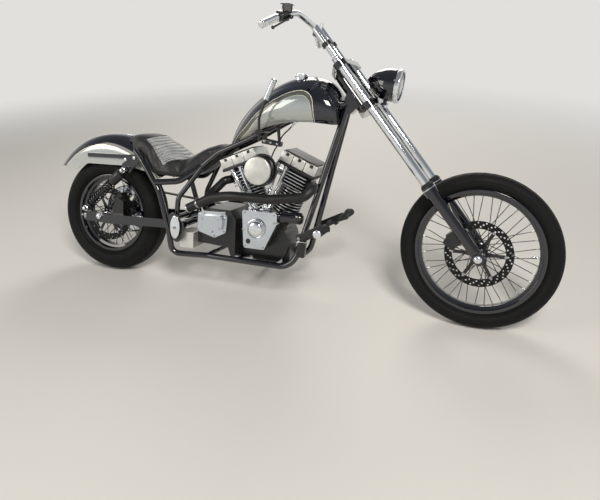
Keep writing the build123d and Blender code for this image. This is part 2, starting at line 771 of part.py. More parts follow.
# Fuel tank: sections along X with the height of the underside, widest line, shoulder
# and top, and the half widths of the first three
TankRow = namedtuple("TankRow", "x low mid shoulder top half_low half_mid half_shoulder")
tank_rows = [
    TankRow(714, 748, 756, 763, 769, 8, 12, 9),
    TankRow(775, 764, 815, 862, 890, 36, 58, 34),
    TankRow(870, 822, 888, 958, 989, 72, 104, 62),
    TankRow(1000, 868, 950, 1034, 1070, 100, 132, 84),
    TankRow(1130, 884, 970, 1062, 1099, 112, 142, 92),
    TankRow(1232, 880, 966, 1040, 1074, 100, 134, 84),
    TankRow(1286, 878, 946, 992, 1012, 82, 112, 66),
]
tunnel_half = 60
tunnel = [(1320, 970), (1010, 878), (862, 790), (862, 700), (1320, 700)]
with BuildPart() as fuel_tank:
    for row in tank_rows:
        low, shoulder = (row.half_low, row.low), (row.half_shoulder, row.shoulder)
        far_low, far_shoulder = (-row.half_low, row.low), (-row.half_shoulder, row.shoulder)
        with BuildSketch(Plane((row.x, 0, 0), x_dir=LEFT, z_dir=(1, 0, 0))):
            with BuildLine():
                Line(far_low, low)
                ThreePointArc(low, (row.half_mid, row.mid), shoulder)
                ThreePointArc(shoulder, (0, row.top), far_shoulder)
                ThreePointArc(far_shoulder, (-row.half_mid, row.mid), far_low)
            make_face()
    loft()
    add(slab(tunnel, tunnel_half, -tunnel_half), mode=Mode.SUBTRACT)
    add(backbone_room, mode=Mode.SUBTRACT)
finish("fuel_tank", fuel_tank.part)

cap_x, cap_side, cap_low, cap_high, cap_r = 1082, -34, 1070, 1108, 33
with BuildPart() as fuel_cap:
    with BuildSketch(Plane.XY.offset(cap_low)):
        with Locations((cap_x, cap_side)):
            Circle(cap_r)
    extrude(amount=cap_high - cap_low)
    chamfer(fuel_cap.faces().sort_by(Axis.Z)[-1].edges(), 5)
    add(fuel_tank.part, mode=Mode.SUBTRACT)
finish("fuel_cap", fuel_cap.part)

# Seat: a side outline met by a plan outline, hollowed for the fender and the rails
seat_side = [
    (112, 757), (200, 780), (300, 774), (384, 728), (480, 656), (562, 706), (655, 750), (708, 752),
    (711, 741), (742, 744), (742, 735), (684, 690), (590, 612), (492, 570), (345, 568), (262, 606),
    (262, 660), (150, 690),
]
strut_bay = [(50, 500), (50, 671), (244, 671), (262, 560), (262, 500)]
seat_plan = [(105, 66), (200, 112), (300, 132), (420, 138), (520, 122), (620, 86), (765, 44)]
with BuildPart() as seat:
    add(slab(seat_side, 150, -150, 3))
    with BuildSketch(Plane.XY.offset(500)):
        with BuildLine():
            FilletPolyline(*seat_plan, *[(x, -y) for x, y in reversed(seat_plan)], radius=20, close=True)
        make_face()
    extrude(amount=400, mode=Mode.INTERSECT)
    with BuildSketch(fender_plane(fender_start)):
        with BuildLine():
            fender_skin(fender_r + run_gap, fender_half + run_gap)
            Line((-fender_half - run_gap, 250), (fender_half + run_gap, 250))
        make_face()
    revolve(axis=Axis((0, 0, rear_z), LEFT), revolution_arc=fender_arc, mode=Mode.SUBTRACT)
    add(backbone_room, mode=Mode.SUBTRACT)
    add(both_sides(upright_room), mode=Mode.SUBTRACT)
    add(both_sides(bent_tube(stay_route, [60], stay_r + seat_gap)), mode=Mode.SUBTRACT)
    add(both_sides(slab(strut_bay, 160, fender_half)), mode=Mode.SUBTRACT)
finish("seat", seat.part)

# Engine
crank = Vector(crank_x, 0, crank_z)
sin_v, cos_v = sin(radians(v_half_angle)), cos(radians(v_half_angle))


def bank_plane(way, along, side=0):
    """A plane square to a cylinder's axis: way 1 is the front one and -1 the rear one."""
    up = Vector(way * sin_v, 0, cos_v)
    return Plane(crank + up * along + LEFT * side, x_dir=LEFT, z_dir=up)


def on_bank(way, along, ahead, side=0):
    """A point by a cylinder: along its axis, outward from the vee and to the left."""
    return crank + Vector(
        way * (along * sin_v + ahead * cos_v), side, along * cos_v - ahead * sin_v
    )


def bank_block(way, low, high, wide, long):
    """A box round a cylinder's axis between two distances from the crank."""
    with BuildPart() as block:
        with BuildSketch(bank_plane(way, low)):
            Rectangle(wide, long)
        extrude(amount=high - low)
    return block.part


chest_top = 447
chest_outline = [(848, chest_top), (1030, chest_top), (1030, 394), (968, 262), (860, 262)]
with BuildPart() as crankcase:
    add(cross_rod(crank_x, crank_z, -case_half, case_half, case_r))
    for way in BOTH:
        with BuildSketch(bank_plane(way, 50)):
            with Locations((0, -way * 4)):
                RectangleRounded(2 * case_half, 112, 12)
        extrude(amount=deck_at - 50)
    add(slab([(800.2, 200), (870, 200), (870, 360), (800.2, 360)], 60, -60))
    add(slab([(1026, 200), (1064, 200), (1064, 262), (1026, 262)], 48, -48))
    add(slab(chest_outline, -case_half + 4, -chest_right, 12))
    for way in BOTH:
        add(rod(on_bank(way, deck_at, 0), on_bank(way, head_top, 0), fin_r + 2), mode=Mode.SUBTRACT)
    add(cross_rod(crank_x, crank_z, case_half - 2, 125.8, 58))
finish("crankcase", crankcase.part)

head_half = 75
with BuildPart() as cylinders:
    for way in BOTH:
        with BuildSketch(bank_plane(way, deck_at + seat_gap)):
            Circle(barrel_r)
        extrude(amount=head_top - deck_at - seat_gap)
        with BuildSketch(bank_plane(way, barrel_top)):
            RectangleRounded(112, 110, 20)
        extrude(amount=head_top - barrel_top)
        for place in range(fin_count):
            along = fin_first + place * fin_pitch
            with BuildSketch(bank_plane(way, along)):
                Circle(min(fin_r, along * sin_v / cos_v - 2))
            extrude(amount=fin_thick)
        for along in (310, 326, 342, 358, 374):
            with BuildSketch(bank_plane(way, along)):
                RectangleRounded(2 * head_half, 2 * head_half, 26)
            extrude(amount=fin_thick)
finish("cylinders", cylinders.part)

rocker_low = head_top + seat_gap
rocker_top = rocker_low + rocker_layers * rocker_layer
with BuildPart() as rocker_boxes:
    for way in BOTH:
        for layer in range(rocker_layers):
            with BuildSketch(bank_plane(way, rocker_low + layer * rocker_layer, rocker_shift)):
                RectangleRounded(rocker_wide - 4 * layer, rocker_long - 6 * layer, 24)
            extrude(amount=rocker_layer - rocker_groove)
        with BuildSketch(bank_plane(way, rocker_low, rocker_shift)):
            RectangleRounded(rocker_wide - 14, rocker_long - 18, 20)
        extrude(amount=rocker_top - rocker_low - rocker_groove)
finish("rocker_boxes", rocker_boxes.part)

# Pushrod tubes: X at the cam chest and X at the rocker box
PushrodRow = namedtuple("PushrodRow", "foot_x head_x way")
pushrod_rows = [
    PushrodRow(872, 757, -1), PushrodRow(894, 800, -1), PushrodRow(935, 1005, 1), PushrodRow(957, 1045, 1)
]
pushrod_side, pushrod_r = -88, 9
with BuildPart() as pushrods:
    for row in pushrod_rows:
        head_z = crank_z + (rocker_low - row.way * (row.head_x - crank_x) * sin_v) / cos_v
        foot = Vector(row.foot_x, pushrod_side, chest_top)
        head = Vector(row.head_x, pushrod_side, head_z)
        over = (head - foot).normalized() * 12
        add(rod(foot - over, head + over, pushrod_r))
    for way in BOTH:
        add(bank_block(way, rocker_low - seat_gap, rocker_low + 60, 300, 200), mode=Mode.SUBTRACT)
    add(slab([(800, 400), (1040, 400), (1040, chest_top + seat_gap), (800, chest_top + seat_gap)], 0, -chest_right), mode=Mode.SUBTRACT)
finish("pushrod_tubes", pushrods.part)

# Intake: manifold and carburettor body, then the round air cleaner
carb_z, port_along = 634, 335
with BuildPart() as carburettor:
    add(cross_rod(air_cleaner_x, carb_z, -air_cleaner_back + seat_gap, 16, 27))
    for way in BOTH:
        face, centre = -head_half - seat_gap, -head_half - 66
        add(rod(on_bank(way, port_along, face), on_bank(way, port_along, centre), 17))
    add(cross_rod(air_cleaner_x, carb_z, -92, -56, 31))
finish("carburettor", carburettor.part)

with BuildPart() as air_cleaner:
    add(cross_rod(air_cleaner_x, air_cleaner_z, -air_cleaner_back - 14, -air_cleaner_back, air_cleaner_r + 8))
    with BuildSketch(Plane((air_cleaner_x, 0, air_cleaner_z), x_dir=(0, -1, 0), z_dir=(1, 0, 0))):
        base, edge, face = air_cleaner_back + 10, air_cleaner_r, air_cleaner_face
        with BuildLine():
            Polyline((face, 4), (face, 0), (base, 0), (base, edge), (face - 22, edge))
            ThreePointArc((face - 22, edge), (face - 11, edge - 5), (face - 6, edge - 16))
            ThreePointArc((face - 6, edge - 16), (face - 1.5, 28), (face, 4))
        make_face()
    revolve(axis=Axis((air_cleaner_x, 0, air_cleaner_z), LEFT))
finish("air_cleaner", air_cleaner.part)

# Transmission and primary drive
box_outline = [
    (590, 250), (590, 392), (640, 430), (770, 430), (800, 384), (800, 200), (776, 200), (760, 244)
]
with BuildPart() as transmission:
    add(slab(box_outline, belt_side - seat_gap, -chest_right, 6))
finish("transmission", transmission.part)

# Chrome covers on the right: the cam chest's and the transmission's
dome_x, dome_z, dome_r, dome_cap_r = 926, 363, 48, 35
box_cover = [(606, 408), (640, 420), (752, 424), (768, 400), (762, 322), (700, 290), (604, 316)]
box_cover_face = [(620, 392), (650, 402), (738, 404), (750, 388), (746, 334), (696, 308), (620, 328)]
with BuildPart() as side_covers:
    add(slab(chest_outline, -chest_right - seat_gap, -cam_cover_right, 12))
    add(cross_rod(dome_x, dome_z, -cam_cover_right - 10, -cam_cover_right + 4, dome_r))
    add(cross_rod(dome_x, dome_z, -cam_cover_right - 16, -cam_cover_right + 4, dome_cap_r))
    add(slab(box_cover, -chest_right - seat_gap, -150, 12))
    add(slab(box_cover_face, -148, -168, 10))
finish("side_covers", side_covers.part)

primary_inner, primary_outer, clutch_x, clutch_z = 126, 184, 676, 338
with BuildPart() as primary_cover:
    with BuildSketch(side_plane(primary_outer)):
        with Locations((crank_x, crank_z)):
            Circle(82)
        with Locations((clutch_x, clutch_z)):
            Circle(98)
        make_hull()
    extrude(amount=primary_outer - primary_inner)
    fillet(primary_cover.faces().sort_by(Axis.Y)[-1].edges(), 18)
    add(cross_rod(clutch_x, clutch_z, primary_outer - 4, primary_outer + 8, 62))
finish("primary_cover", primary_cover.part)

with BuildPart() as battery_box:
    add(slab([(514, 224), (514, 306), (589.8, 306), (589.8, 224)], -60, -165, 8))
finish("battery_box", battery_box.part)

with BuildPart() as oil_filter:
    add(rod((1030.2, -95, 421), (1092, -95, 421), 27))
    fillet(oil_filter.faces().sort_by(Axis.X)[-1].edges(), 6)
finish("oil_filter", oil_filter.part)

# Exhaust pipes, open at their ends
pipe_r, pipe_wall, pipe_mouth = 23, 2.5, 60
front_pipe_route = [
    on_bank(1, 356, 55, -44), (1170, -86, 577), (1226, -172, 600), (1176, -200, 545),
    (1010, -200, 520), (800, -200, 518), (690, -172, 494), (548, -150, 424),
]
front_pipe_radii = [34, 48, 50, 200, 260, 160]
rear_pipe_route = [on_bank(-1, 350, 55, -44), (706, -66, 568), (680, -130, 520), (672, -172, 494)]
pipe_tip = Vector(*front_pipe_route[-1])
pipe_back = (Vector(*front_pipe_route[-2]) - pipe_tip).normalized()
with BuildPart() as exhausts:
    add(bent_tube(rear_pipe_route, [30, 40], pipe_r - 2))
    add(bent_tube(front_pipe_route, front_pipe_radii, pipe_r + seat_gap), mode=Mode.SUBTRACT)
    add(bent_tube(front_pipe_route, front_pipe_radii, pipe_r))
    add(rod(pipe_tip - pipe_back, pipe_tip + pipe_back * pipe_mouth, pipe_r - pipe_wall), mode=Mode.SUBTRACT)
    for way in BOTH:
        add(bank_block(way, 290, head_top + 4, 170, 2 * head_half + 2 * seat_gap), mode=Mode.SUBTRACT)
finish("exhaust_pipes", exhausts.part)

# Hand shift lever on a cross shaft from the right backbone tube
shift_x, shift_z, shift_side = 930, 828, -170
with BuildPart() as shift_lever:
    add(cross_rod(shift_x, shift_z, shift_side - 9, -40, 8))
    add(cross_rod(shift_x, shift_z, shift_side - 11, shift_side + 11, 14))
    add(bent_tube([(934, shift_side, 787), (930, shift_side, 894), (957, shift_side, 969), (990, shift_side, 1047)], [60, 60], 6.5))
    add(rod((962, shift_side, 981), (1002, shift_side, 1075), 13))
    add(backbone_room, mode=Mode.SUBTRACT)
finish("hand_shift_lever", shift_lever.part)

# Forward foot controls and pegs
control_arm = [
    (1132, 372), (1262, 430), (1300, 418), (1296, 386), (1200, 346), (1192, 262), (1150, 262), (1132, 330)
]
peg_x, peg_z, peg_inner, peg_outer, peg_r = 1278, 406, 166, 300, 18
with BuildPart() as foot_control:
    add(cross_rod(1150, 344, 90, 160, 12))
    add(slab(control_arm, peg_inner, peg_inner - 14, 10))
    add(rod((1240, 143, 372), (1331, 143, 469), 7))
    add(cross_rod(1240, 372, 134, 154, 13))
    add(slab([(1318, 462), (1318, 476), (1346, 476), (1346, 462)], 224, 136, 4))
    add(down_room, mode=Mode.SUBTRACT)
with BuildPart() as foot_controls:
    add(both_sides(foot_control.part))
    add(slab([(1152, 262), (1156, 334), (1192, 334), (1188, 262)], -peg_inner + 2, -peg_inner - 32, 6))
finish("foot_controls", foot_controls.part)

with BuildPart() as foot_peg:
    add(cross_rod(peg_x, peg_z, peg_inner + seat_gap, peg_outer, peg_r))
    fillet(foot_peg.faces().sort_by(Axis.Y)[-1].edges(), 4)
finish("foot_pegs", Compound(both_sides(foot_peg.part)))

# Brake calipers: a block straddling the disc and a plate to what carries it
pad_gap, caliper_r, caliper_long, caliper_deep = 2.5, 122, 104, 58


def caliper_block(wheel, turn, left, right):
    """A block over a disc's edge at an angle up from ahead, with the disc's slot in it."""
    a = radians(turn)
    out = Vector(cos(a), 0, sin(a))
    centre = Vector(wheel.axle_x, 0, axle_height(wheel))
    inner = wheel.hub_right + seat_gap
    with BuildPart() as block:
        with BuildSketch(Plane(centre + out * caliper_r + LEFT * left, x_dir=out, z_dir=(0, -1, 0))):
            RectangleRounded(caliper_deep, caliper_long, 12)
        extrude(amount=left - right)
        add(
            cross_rod(
                centre.X, centre.Z, -inner - disc_thick - pad_gap, -inner + pad_gap, disc_r + 4
            ),
            mode=Mode.SUBTRACT,
        )
    return block.part


with BuildPart() as front_caliper:
    add(caliper_block(front, 148, -44, -88))
    with BuildSketch(fork_plane(84, -104, 30)):
        Rectangle(36, 60)
    extrude(amount=64)
    with BuildSketch(fork_plane(leg_foot, -fork_half)):
        Circle(leg_r + seat_gap)
    extrude(amount=leg_top, mode=Mode.SUBTRACT)
finish("front_caliper", front_caliper.part)

with BuildPart() as rear_caliper:
    add(caliper_block(rear, 36, -50, -96))
    add(slab([(66, 306), (66, 372), (96, 432), (136, 410), (136, 306)], -92, -arm_inner + seat_gap, 8))
finish("rear_caliper", rear_caliper.part)

# Handlebar controls: a housing on each side, the right one with the brake lever
housing_dir = (bar_sweep - bar_bend).normalized()
housing_at = bar_sweep - housing_dir * 40
with BuildPart() as housing:
    with BuildSketch(Plane(housing_at, x_dir=(1, 0, 0), z_dir=housing_dir)):
        RectangleRounded(50, 46, 8)
    extrude(amount=30)
lever_root, lever_tip = Vector(1102, -244, 1340), Vector(1078, -388, 1276)
with BuildPart() as bar_controls:
    add(both_sides(housing.part))
    with BuildSketch(Plane.XY.offset(1362)):
        with Locations(Location((1072, -222), 25)):
            RectangleRounded(44, 66, 8)
    extrude(amount=34)
    add(rod((1074, -236, 1350), lever_root, 8))
    add(rod(lever_root, lever_tip, 5))
    with Locations(lever_tip):
        Sphere(8)
    with Locations(lever_root):
        Sphere(9)
    add(bent_tube(bar_route, bar_radii, bar_r + seat_gap), mode=Mode.SUBTRACT)
finish("bar_controls", bar_controls.part)

# Side stand
with BuildPart() as side_stand:
    add(stand_disc(-12.5, 13, stand_eye_r))
    leg_root = stand_pivot - stand_line * 10
    leg_tip = foot_ground + foot_up * foot_thick
    leg_way = (leg_tip - leg_root).normalized()
    add(rod(leg_root + leg_way * 14.5, leg_tip, stand_leg_r))
    add(rod(foot_ground, leg_tip, foot_r))
    add(stand_disc(-14, 16, stand_pin_r + run_gap), mode=Mode.SUBTRACT)
finish("side_stand", side_stand.part)

os.makedirs("parts", exist_ok=True)
for name, piece in parts.items():
    export_step(piece, f"parts/{name}.step")
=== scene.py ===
"""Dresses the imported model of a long-fork chopper motorcycle for rendering.

Sizes are in mm on the upright machine: X forward, Y to the rider's left, Z up, with the rear
axle above the origin. Each finished piece is leaned onto the side stand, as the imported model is.
"""

import json
import logging
from collections.abc import Callable, Iterable, Sequence
from dataclasses import dataclass
from enum import Enum
from math import atan2, cos, pi, radians, sin, sqrt

import bmesh
import bpy
from mathutils import Matrix, Vector
from mathutils.bvhtree import BVHTree

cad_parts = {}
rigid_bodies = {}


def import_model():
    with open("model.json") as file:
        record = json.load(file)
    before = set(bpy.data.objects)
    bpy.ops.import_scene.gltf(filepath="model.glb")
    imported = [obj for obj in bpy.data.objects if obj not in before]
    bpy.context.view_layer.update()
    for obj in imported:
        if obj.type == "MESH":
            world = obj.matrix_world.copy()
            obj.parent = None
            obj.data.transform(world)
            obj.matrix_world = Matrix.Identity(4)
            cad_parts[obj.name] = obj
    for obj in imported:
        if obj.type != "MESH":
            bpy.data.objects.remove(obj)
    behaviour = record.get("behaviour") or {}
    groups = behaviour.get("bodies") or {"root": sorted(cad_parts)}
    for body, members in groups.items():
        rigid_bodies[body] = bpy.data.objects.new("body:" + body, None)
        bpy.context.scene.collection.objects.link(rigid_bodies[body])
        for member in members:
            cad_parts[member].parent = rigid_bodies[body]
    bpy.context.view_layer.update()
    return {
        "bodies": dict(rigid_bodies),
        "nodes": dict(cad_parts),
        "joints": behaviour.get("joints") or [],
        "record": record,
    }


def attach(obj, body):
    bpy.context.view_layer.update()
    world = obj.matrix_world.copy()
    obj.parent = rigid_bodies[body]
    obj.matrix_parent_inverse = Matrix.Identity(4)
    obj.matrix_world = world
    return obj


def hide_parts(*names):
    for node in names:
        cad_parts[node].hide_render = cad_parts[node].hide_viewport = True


logging.basicConfig(level=logging.INFO, format="%(name)s: %(message)s")
log = logging.getLogger("chopper")

MM = 0.001
FULL_TURN = 2 * pi
SIDES = (-1, 1)
LEFT = Vector((0, 1, 0))
UP = Vector((0, 0, 1))
AHEAD = Vector((1, 0, 0))

Piece = bpy.types.Object
Tree = bpy.types.NodeTree
Node = bpy.types.Node
Socket = bpy.types.NodeSocket
Colour = tuple[float, float, float, float]
Pair = tuple[float, float]
Triple = tuple[float, float, float]
Table = tuple[Pair, ...]


class Body(Enum):
    """The bodies that pieces ride on."""

    CHASSIS = "chassis"
    STEERING = "steering"
    FRONT_WHEEL = "front_wheel"
    REAR_WHEEL = "rear_wheel"
    SIDE_STAND = "side_stand"


class Slot(Enum):
    """The record's material slots."""

    GLOSS_BLACK = "gloss_black"
    SATIN_BLACK = "satin_black"
    CHROME = "chrome"
    ALLOY = "alloy"
    STEEL = "steel"
    TYRE = "tyre_rubber"
    RUBBER = "rubber"
    LEATHER = "leather"
    LENS = "lens"


@dataclass(frozen=True)
class Stance:
    """How the machine stands: its wheelbase, rake and lean, in mm and degrees."""

    wheelbase: float = 1945
    rake: float = 39
    lean: float = 12.6
    front_tyre_r: float = 350
    front_crown: float = 50
    rear_tyre_r: float = 323
    rear_crown: float = 80

    def axle_height(self, tyre_r: float, crown: float) -> float:
        """The height of an axle whose leaned tyre just meets the ground."""
        lean_cos = cos(radians(self.lean))
        return tyre_r + crown * (1 - lean_cos) / lean_cos

    @property
    def front_z(self) -> float:
        """The front axle's height."""
        return self.axle_height(self.front_tyre_r, self.front_crown)

    @property
    def rear_z(self) -> float:
        """The rear axle's height."""
        return self.axle_height(self.rear_tyre_r, self.rear_crown)

    @property
    def shift(self) -> float:
        """How far the leaned machine moves to the right, in metres."""
        return (self.rear_z - self.rear_tyre_r + self.rear_crown) * sin(radians(self.lean)) * MM

    @property
    def matrix(self) -> Matrix:
        """The move of the upright machine onto its stand."""
        lean = Matrix.Rotation(radians(-self.lean), 4, "X")
        return Matrix.Translation((0, -self.shift, 0)) @ lean

    @property
    def fork_up(self) -> Vector:
        """The direction of the fork, from the axle up."""
        return Vector((-sin(radians(self.rake)), 0, cos(radians(self.rake))))

    @property
    def fork_back(self) -> Vector:
        """The direction square to the fork, towards the rider."""
        return Vector((-cos(radians(self.rake)), 0, -sin(radians(self.rake))))

    def on_fork(self, along: float, side: float = 0, behind: float = 0) -> Vector:
        """A point in mm from the front axle: along the fork, to the left and behind it."""
        axle = Vector((self.wheelbase, side, self.front_z))
        return axle + self.fork_up * along + self.fork_back * behind


STANCE = Stance()


def linear(colour: str) -> Colour:
    """Turns an sRGB hex colour into the linear values that shaders take.

    Args:
        colour: A hash and six hex digits.

    Returns:
        Red, green, blue and an alpha of one.
    """
    channels = [int(colour[i : i + 2], 16) / 255 for i in (1, 3, 5)]
    red, green, blue = (c / 12.92 if c <= 0.04045 else ((c + 0.055) / 1.055) ** 2.4 for c in channels)
    return (red, green, blue, 1.0)


@dataclass(frozen=True)
class Camera:
    """The photograph's camera, solved from the wheels' outlines, in metres and degrees."""

    place: Triple = (1.98854, -2.2759, 1.49525)
    yaw: float = -20.675
    pitch: float = 18.560
    roll: float = 2.093
    focal_px: float = 550.80
    frame_px: tuple[int, int] = (600, 500)
    centre_px: Pair = (300, 169)
    sensor: float = 36

    def build(self) -> None:
        """Makes the camera and gives it to the scene."""
        yaw, pitch, roll = (radians(a) for a in (self.yaw, self.pitch, self.roll))
        ahead = Vector((sin(yaw) * cos(pitch), cos(yaw) * cos(pitch), -sin(pitch)))
        level = Vector((cos(yaw), -sin(yaw), 0))
        fall = ahead.cross(level)
        right = cos(roll) * level + sin(roll) * fall
        down = cos(roll) * fall - sin(roll) * level
        data = bpy.data.cameras.new("photo_camera")
        width, height = self.frame_px
        data.sensor_width = self.sensor
        data.lens = self.focal_px * self.sensor / width
        data.shift_x = (width / 2 - self.centre_px[0]) / width
        data.shift_y = (self.centre_px[1] - height / 2) / width
        camera = bpy.data.objects.new("photo_camera", data)
        link(camera)
        turn = Matrix((right, -down, -ahead)).transposed().to_4x4()
        camera.matrix_world = Matrix.Translation(self.place) @ turn
        bpy.context.scene.camera = camera


@dataclass(frozen=True)
class Studio:
    """A plain pale floor and soft light from all round, in metres."""

    floor_size: float = 60
    floor_colour: str = "#dcdbd8"
    backdrop: str = "#e6e5e2"
    backdrop_strength: float = 0.95
    zenith: str = "#878b8f"
    sky_strength: float = 0.54
    pale_to: float = 0.12
    deep_from: float = 0.6
    key_colour: str = "#fff8ee"
    plain_from: float = 2.4
    plain_to: float = 6.5
    floor_roughness: float = 0.9
    middle: Triple = (0.95, 0.1, 0.5)
    lamps: tuple[tuple[str, Triple, float, float], ...] = (
        ("key", (3.4, -3.2, 4.6), 1.5, 235), ("fill", (-2.6, -3.2, 2.6), 2.6, 70),
        ("rim", (0.2, 4.2, 3.6), 2.6, 110),
    )

    def hang(self, name: str, place: Triple, size: float, watts: float) -> None:
        """Hangs a square soft lamp that points at the machine's middle.

        Args:
            name: The lamp's name.
            place: Where it hangs.
            size: The length of its sides.
            watts: Its power.
        """
        data = bpy.data.lights.new(name, "AREA")
        data.size, data.energy = size, watts
        data.color = linear(self.key_colour)[:3]
        lamp = bpy.data.objects.new(name, data)
        lamp.location = place
        aim = Vector(self.middle) - Vector(place)
        lamp.rotation_euler = aim.to_track_quat("-Z", "Y").to_euler()
        link(lamp)

    def sky(self) -> None:
        """Makes the world: a plain pale backdrop, and soft light that is deeper overhead."""
        world = bpy.data.worlds.new("studio")
        bpy.context.scene.world = world
        world.use_nodes = True
        tree = world.node_tree
        place = add_node(tree, "ShaderNodeTexCoord")
        height = axes(tree, place.outputs["Generated"])[2]
        ramp = add_node(tree, "ShaderNodeValToRGB", links={"Fac": height})
        low, high = ramp.color_ramp.elements
        low.position, high.position = self.pale_to, self.deep_from
        low.color, high.color = linear(self.backdrop), linear(self.zenith)
        back = tree.nodes["Background"]
        strength = map_range(tree, self.shown(tree), to_low=self.sky_strength, to_high=self.backdrop_strength)
        tree.links.new(strength, back.inputs["Strength"])
        tree.links.new(ramp.outputs["Color"], back.inputs["Color"])

    def shown(self, tree: Tree) -> Socket:
        """A value that is 1 for what the camera sees, directly, in metal or through glass.

        Args:
            tree: The material's or the world's nodes.

        Returns:
            The socket with the value.
        """
        rays = add_node(tree, "ShaderNodeLightPath").outputs
        mirrored = math_node(tree, "MAXIMUM", rays["Is Glossy Ray"], rays["Is Transmission Ray"])
        return math_node(tree, "MAXIMUM", rays["Is Camera Ray"], mirrored)

    def plain_distance(self, tree: Tree, shader: Node) -> None:
        """Fades the floor that the camera, metal and glass show into the backdrop's colour.

        Args:
            tree: The material's nodes.
            shader: The shader to change.
        """
        place = add_node(tree, "ShaderNodeTexCoord")
        far = add_node(
            tree, "ShaderNodeVectorMath", {"operation": "LENGTH"}, links={0: place.outputs["Object"]}
        )
        share = add_node(
            tree, "ShaderNodeMapRange", {"interpolation_type": "SMOOTHSTEP"},
            {1: self.plain_from, 2: self.plain_to}, {0: far.outputs["Value"]},
        )
        seen = math_node(tree, "MULTIPLY", share.outputs[0], self.shown(tree))
        plain = add_node(
            tree, "ShaderNodeEmission", values={0: linear(self.backdrop), 1: self.backdrop_strength}
        )
        both = add_node(
            tree, "ShaderNodeMixShader", links={0: seen, 1: shader.outputs[0], 2: plain.outputs[0]},
        )
        tree.links.new(both.outputs[0], tree.nodes["Material Output"].inputs["Surface"])

    def build(self) -> None:
        """Makes the floor, the world and the lamps."""
        clear_selection()
        bpy.ops.mesh.primitive_plane_add(size=self.floor_size)
        floor = bpy.context.object
        floor.name = "studio_floor"
        material = bpy.data.materials.new("studio_floor")
        material.use_nodes = True
        shader = material.node_tree.nodes["Principled BSDF"]
        shader.inputs["Base Color"].default_value = linear(self.floor_colour)
        shader.inputs["Roughness"].default_value = self.floor_roughness
        self.plain_distance(material.node_tree, shader)
        floor.data.materials.append(material)
        self.sky()
        for lamp in self.lamps:
            self.hang(*lamp)
        bpy.context.scene.view_settings.view_transform = "Standard"


def metres(point: Iterable[float]) -> Vector:
    """A point in mm, in metres."""
    return Vector(point) * MM


def clear_selection() -> None:
    """Leaves edit mode and deselects everything."""
    if bpy.context.object is not None and bpy.context.object.mode != "OBJECT":
        bpy.ops.object.mode_set(mode="OBJECT")
    bpy.ops.object.select_all(action="DESELECT")


def link(thing: Piece) -> None:
    """Puts an object into the scene."""
    bpy.context.scene.collection.objects.link(thing)


def take(piece: Piece) -> None:
    """Makes a piece the only selected one, and the active one.

    Args:
        piece: The piece.
    """
    clear_selection()
    piece.select_set(True)
    bpy.context.view_layer.objects.active = piece


def settle(piece: Piece) -> Piece:
    """Puts a piece's place into its mesh.

    Args:
        piece: The piece, in edit or object mode.

    Returns:
        The piece, in object mode.
    """
    take(piece)
    bpy.ops.object.transform_apply(location=True, rotation=True, scale=True)
    return piece


def select_faces(piece: Piece, test: Callable[[Vector, Vector], bool]) -> None:
    """Selects the faces of a piece in edit mode by their middle and normal.

    Args:
        piece: The piece, in edit mode.
        test: Says for a face's middle and normal, in metres, whether it is wanted.
    """
    mesh = bmesh.from_edit_mesh(piece.data)
    bpy.ops.mesh.select_all(action="DESELECT")
    for face in mesh.faces:
        if test(face.calc_center_median(), face.normal):
            face.select_set(True)
    bmesh.update_edit_mesh(piece.data)


def select_all() -> None:
    """Selects all of the mesh in edit mode."""
    bpy.ops.mesh.select_all(action="SELECT")


def weld(gap: float = 0.02) -> None:
    """Merges the edited mesh's points that are within a gap in mm."""
    select_all()
    bpy.ops.mesh.remove_doubles(threshold=gap * MM)


def face_outward() -> None:
    """Turns every face of the edited mesh outward."""
    select_all()
    bpy.ops.mesh.normals_make_consistent(inside=False)


def modify(piece: Piece, kind: str, **settings: object) -> None:
    """Adds a modifier to a piece and applies it.

    Args:
        piece: The piece.
        kind: The modifier's type.
        settings: The modifier's attributes.
    """
    take(piece)
    modifier = piece.modifiers.new(kind, kind)
    for key, value in settings.items():
        setattr(modifier, key, value)
    bpy.ops.object.modifier_apply(modifier=modifier.name)


def trace(points: Sequence[Vector]) -> Piece:
    """Starts a piece as a line of edges through points, left in edit mode.

    Args:
        points: The points, in metres.

    Returns:
        The new piece.
    """
    clear_selection()
    bpy.ops.mesh.primitive_plane_add(size=MM, location=points[0])
    piece = bpy.context.object
    bpy.ops.object.mode_set(mode="EDIT")
    select_all()
    bpy.ops.mesh.merge(type="CENTER")
    for here, there in zip(points, points[1:]):
        bpy.ops.mesh.extrude_region_move(TRANSFORM_OT_translate={"value": there - here})
    return piece


def lathe(profile: Sequence[Pair], centre: Iterable[float], axis: Vector, steps: int = 48) -> Piece:
    """Spins a profile round an axis.

    Args:
        profile: Distances along the axis and out from it, in mm. It starts and ends on the
            axis, or else it is a ring, which closes by itself.
        centre: The point of the axis that the distances count from, in mm.
        axis: The axis's direction.
        steps: How many steps the turn has.

    Returns:
        The closed piece.
    """
    axis = axis.normalized()
    out = axis.orthogonal().normalized()
    middle = Vector(centre)
    loop = [*profile, profile[0]] if profile[0][1] else profile
    piece = trace([metres(middle + axis * along + out * radius) for along, radius in loop])
    select_all()
    bpy.ops.mesh.spin(steps=steps, angle=FULL_TURN, center=metres(middle), axis=axis)
    weld()
    face_outward()
    return settle(piece)


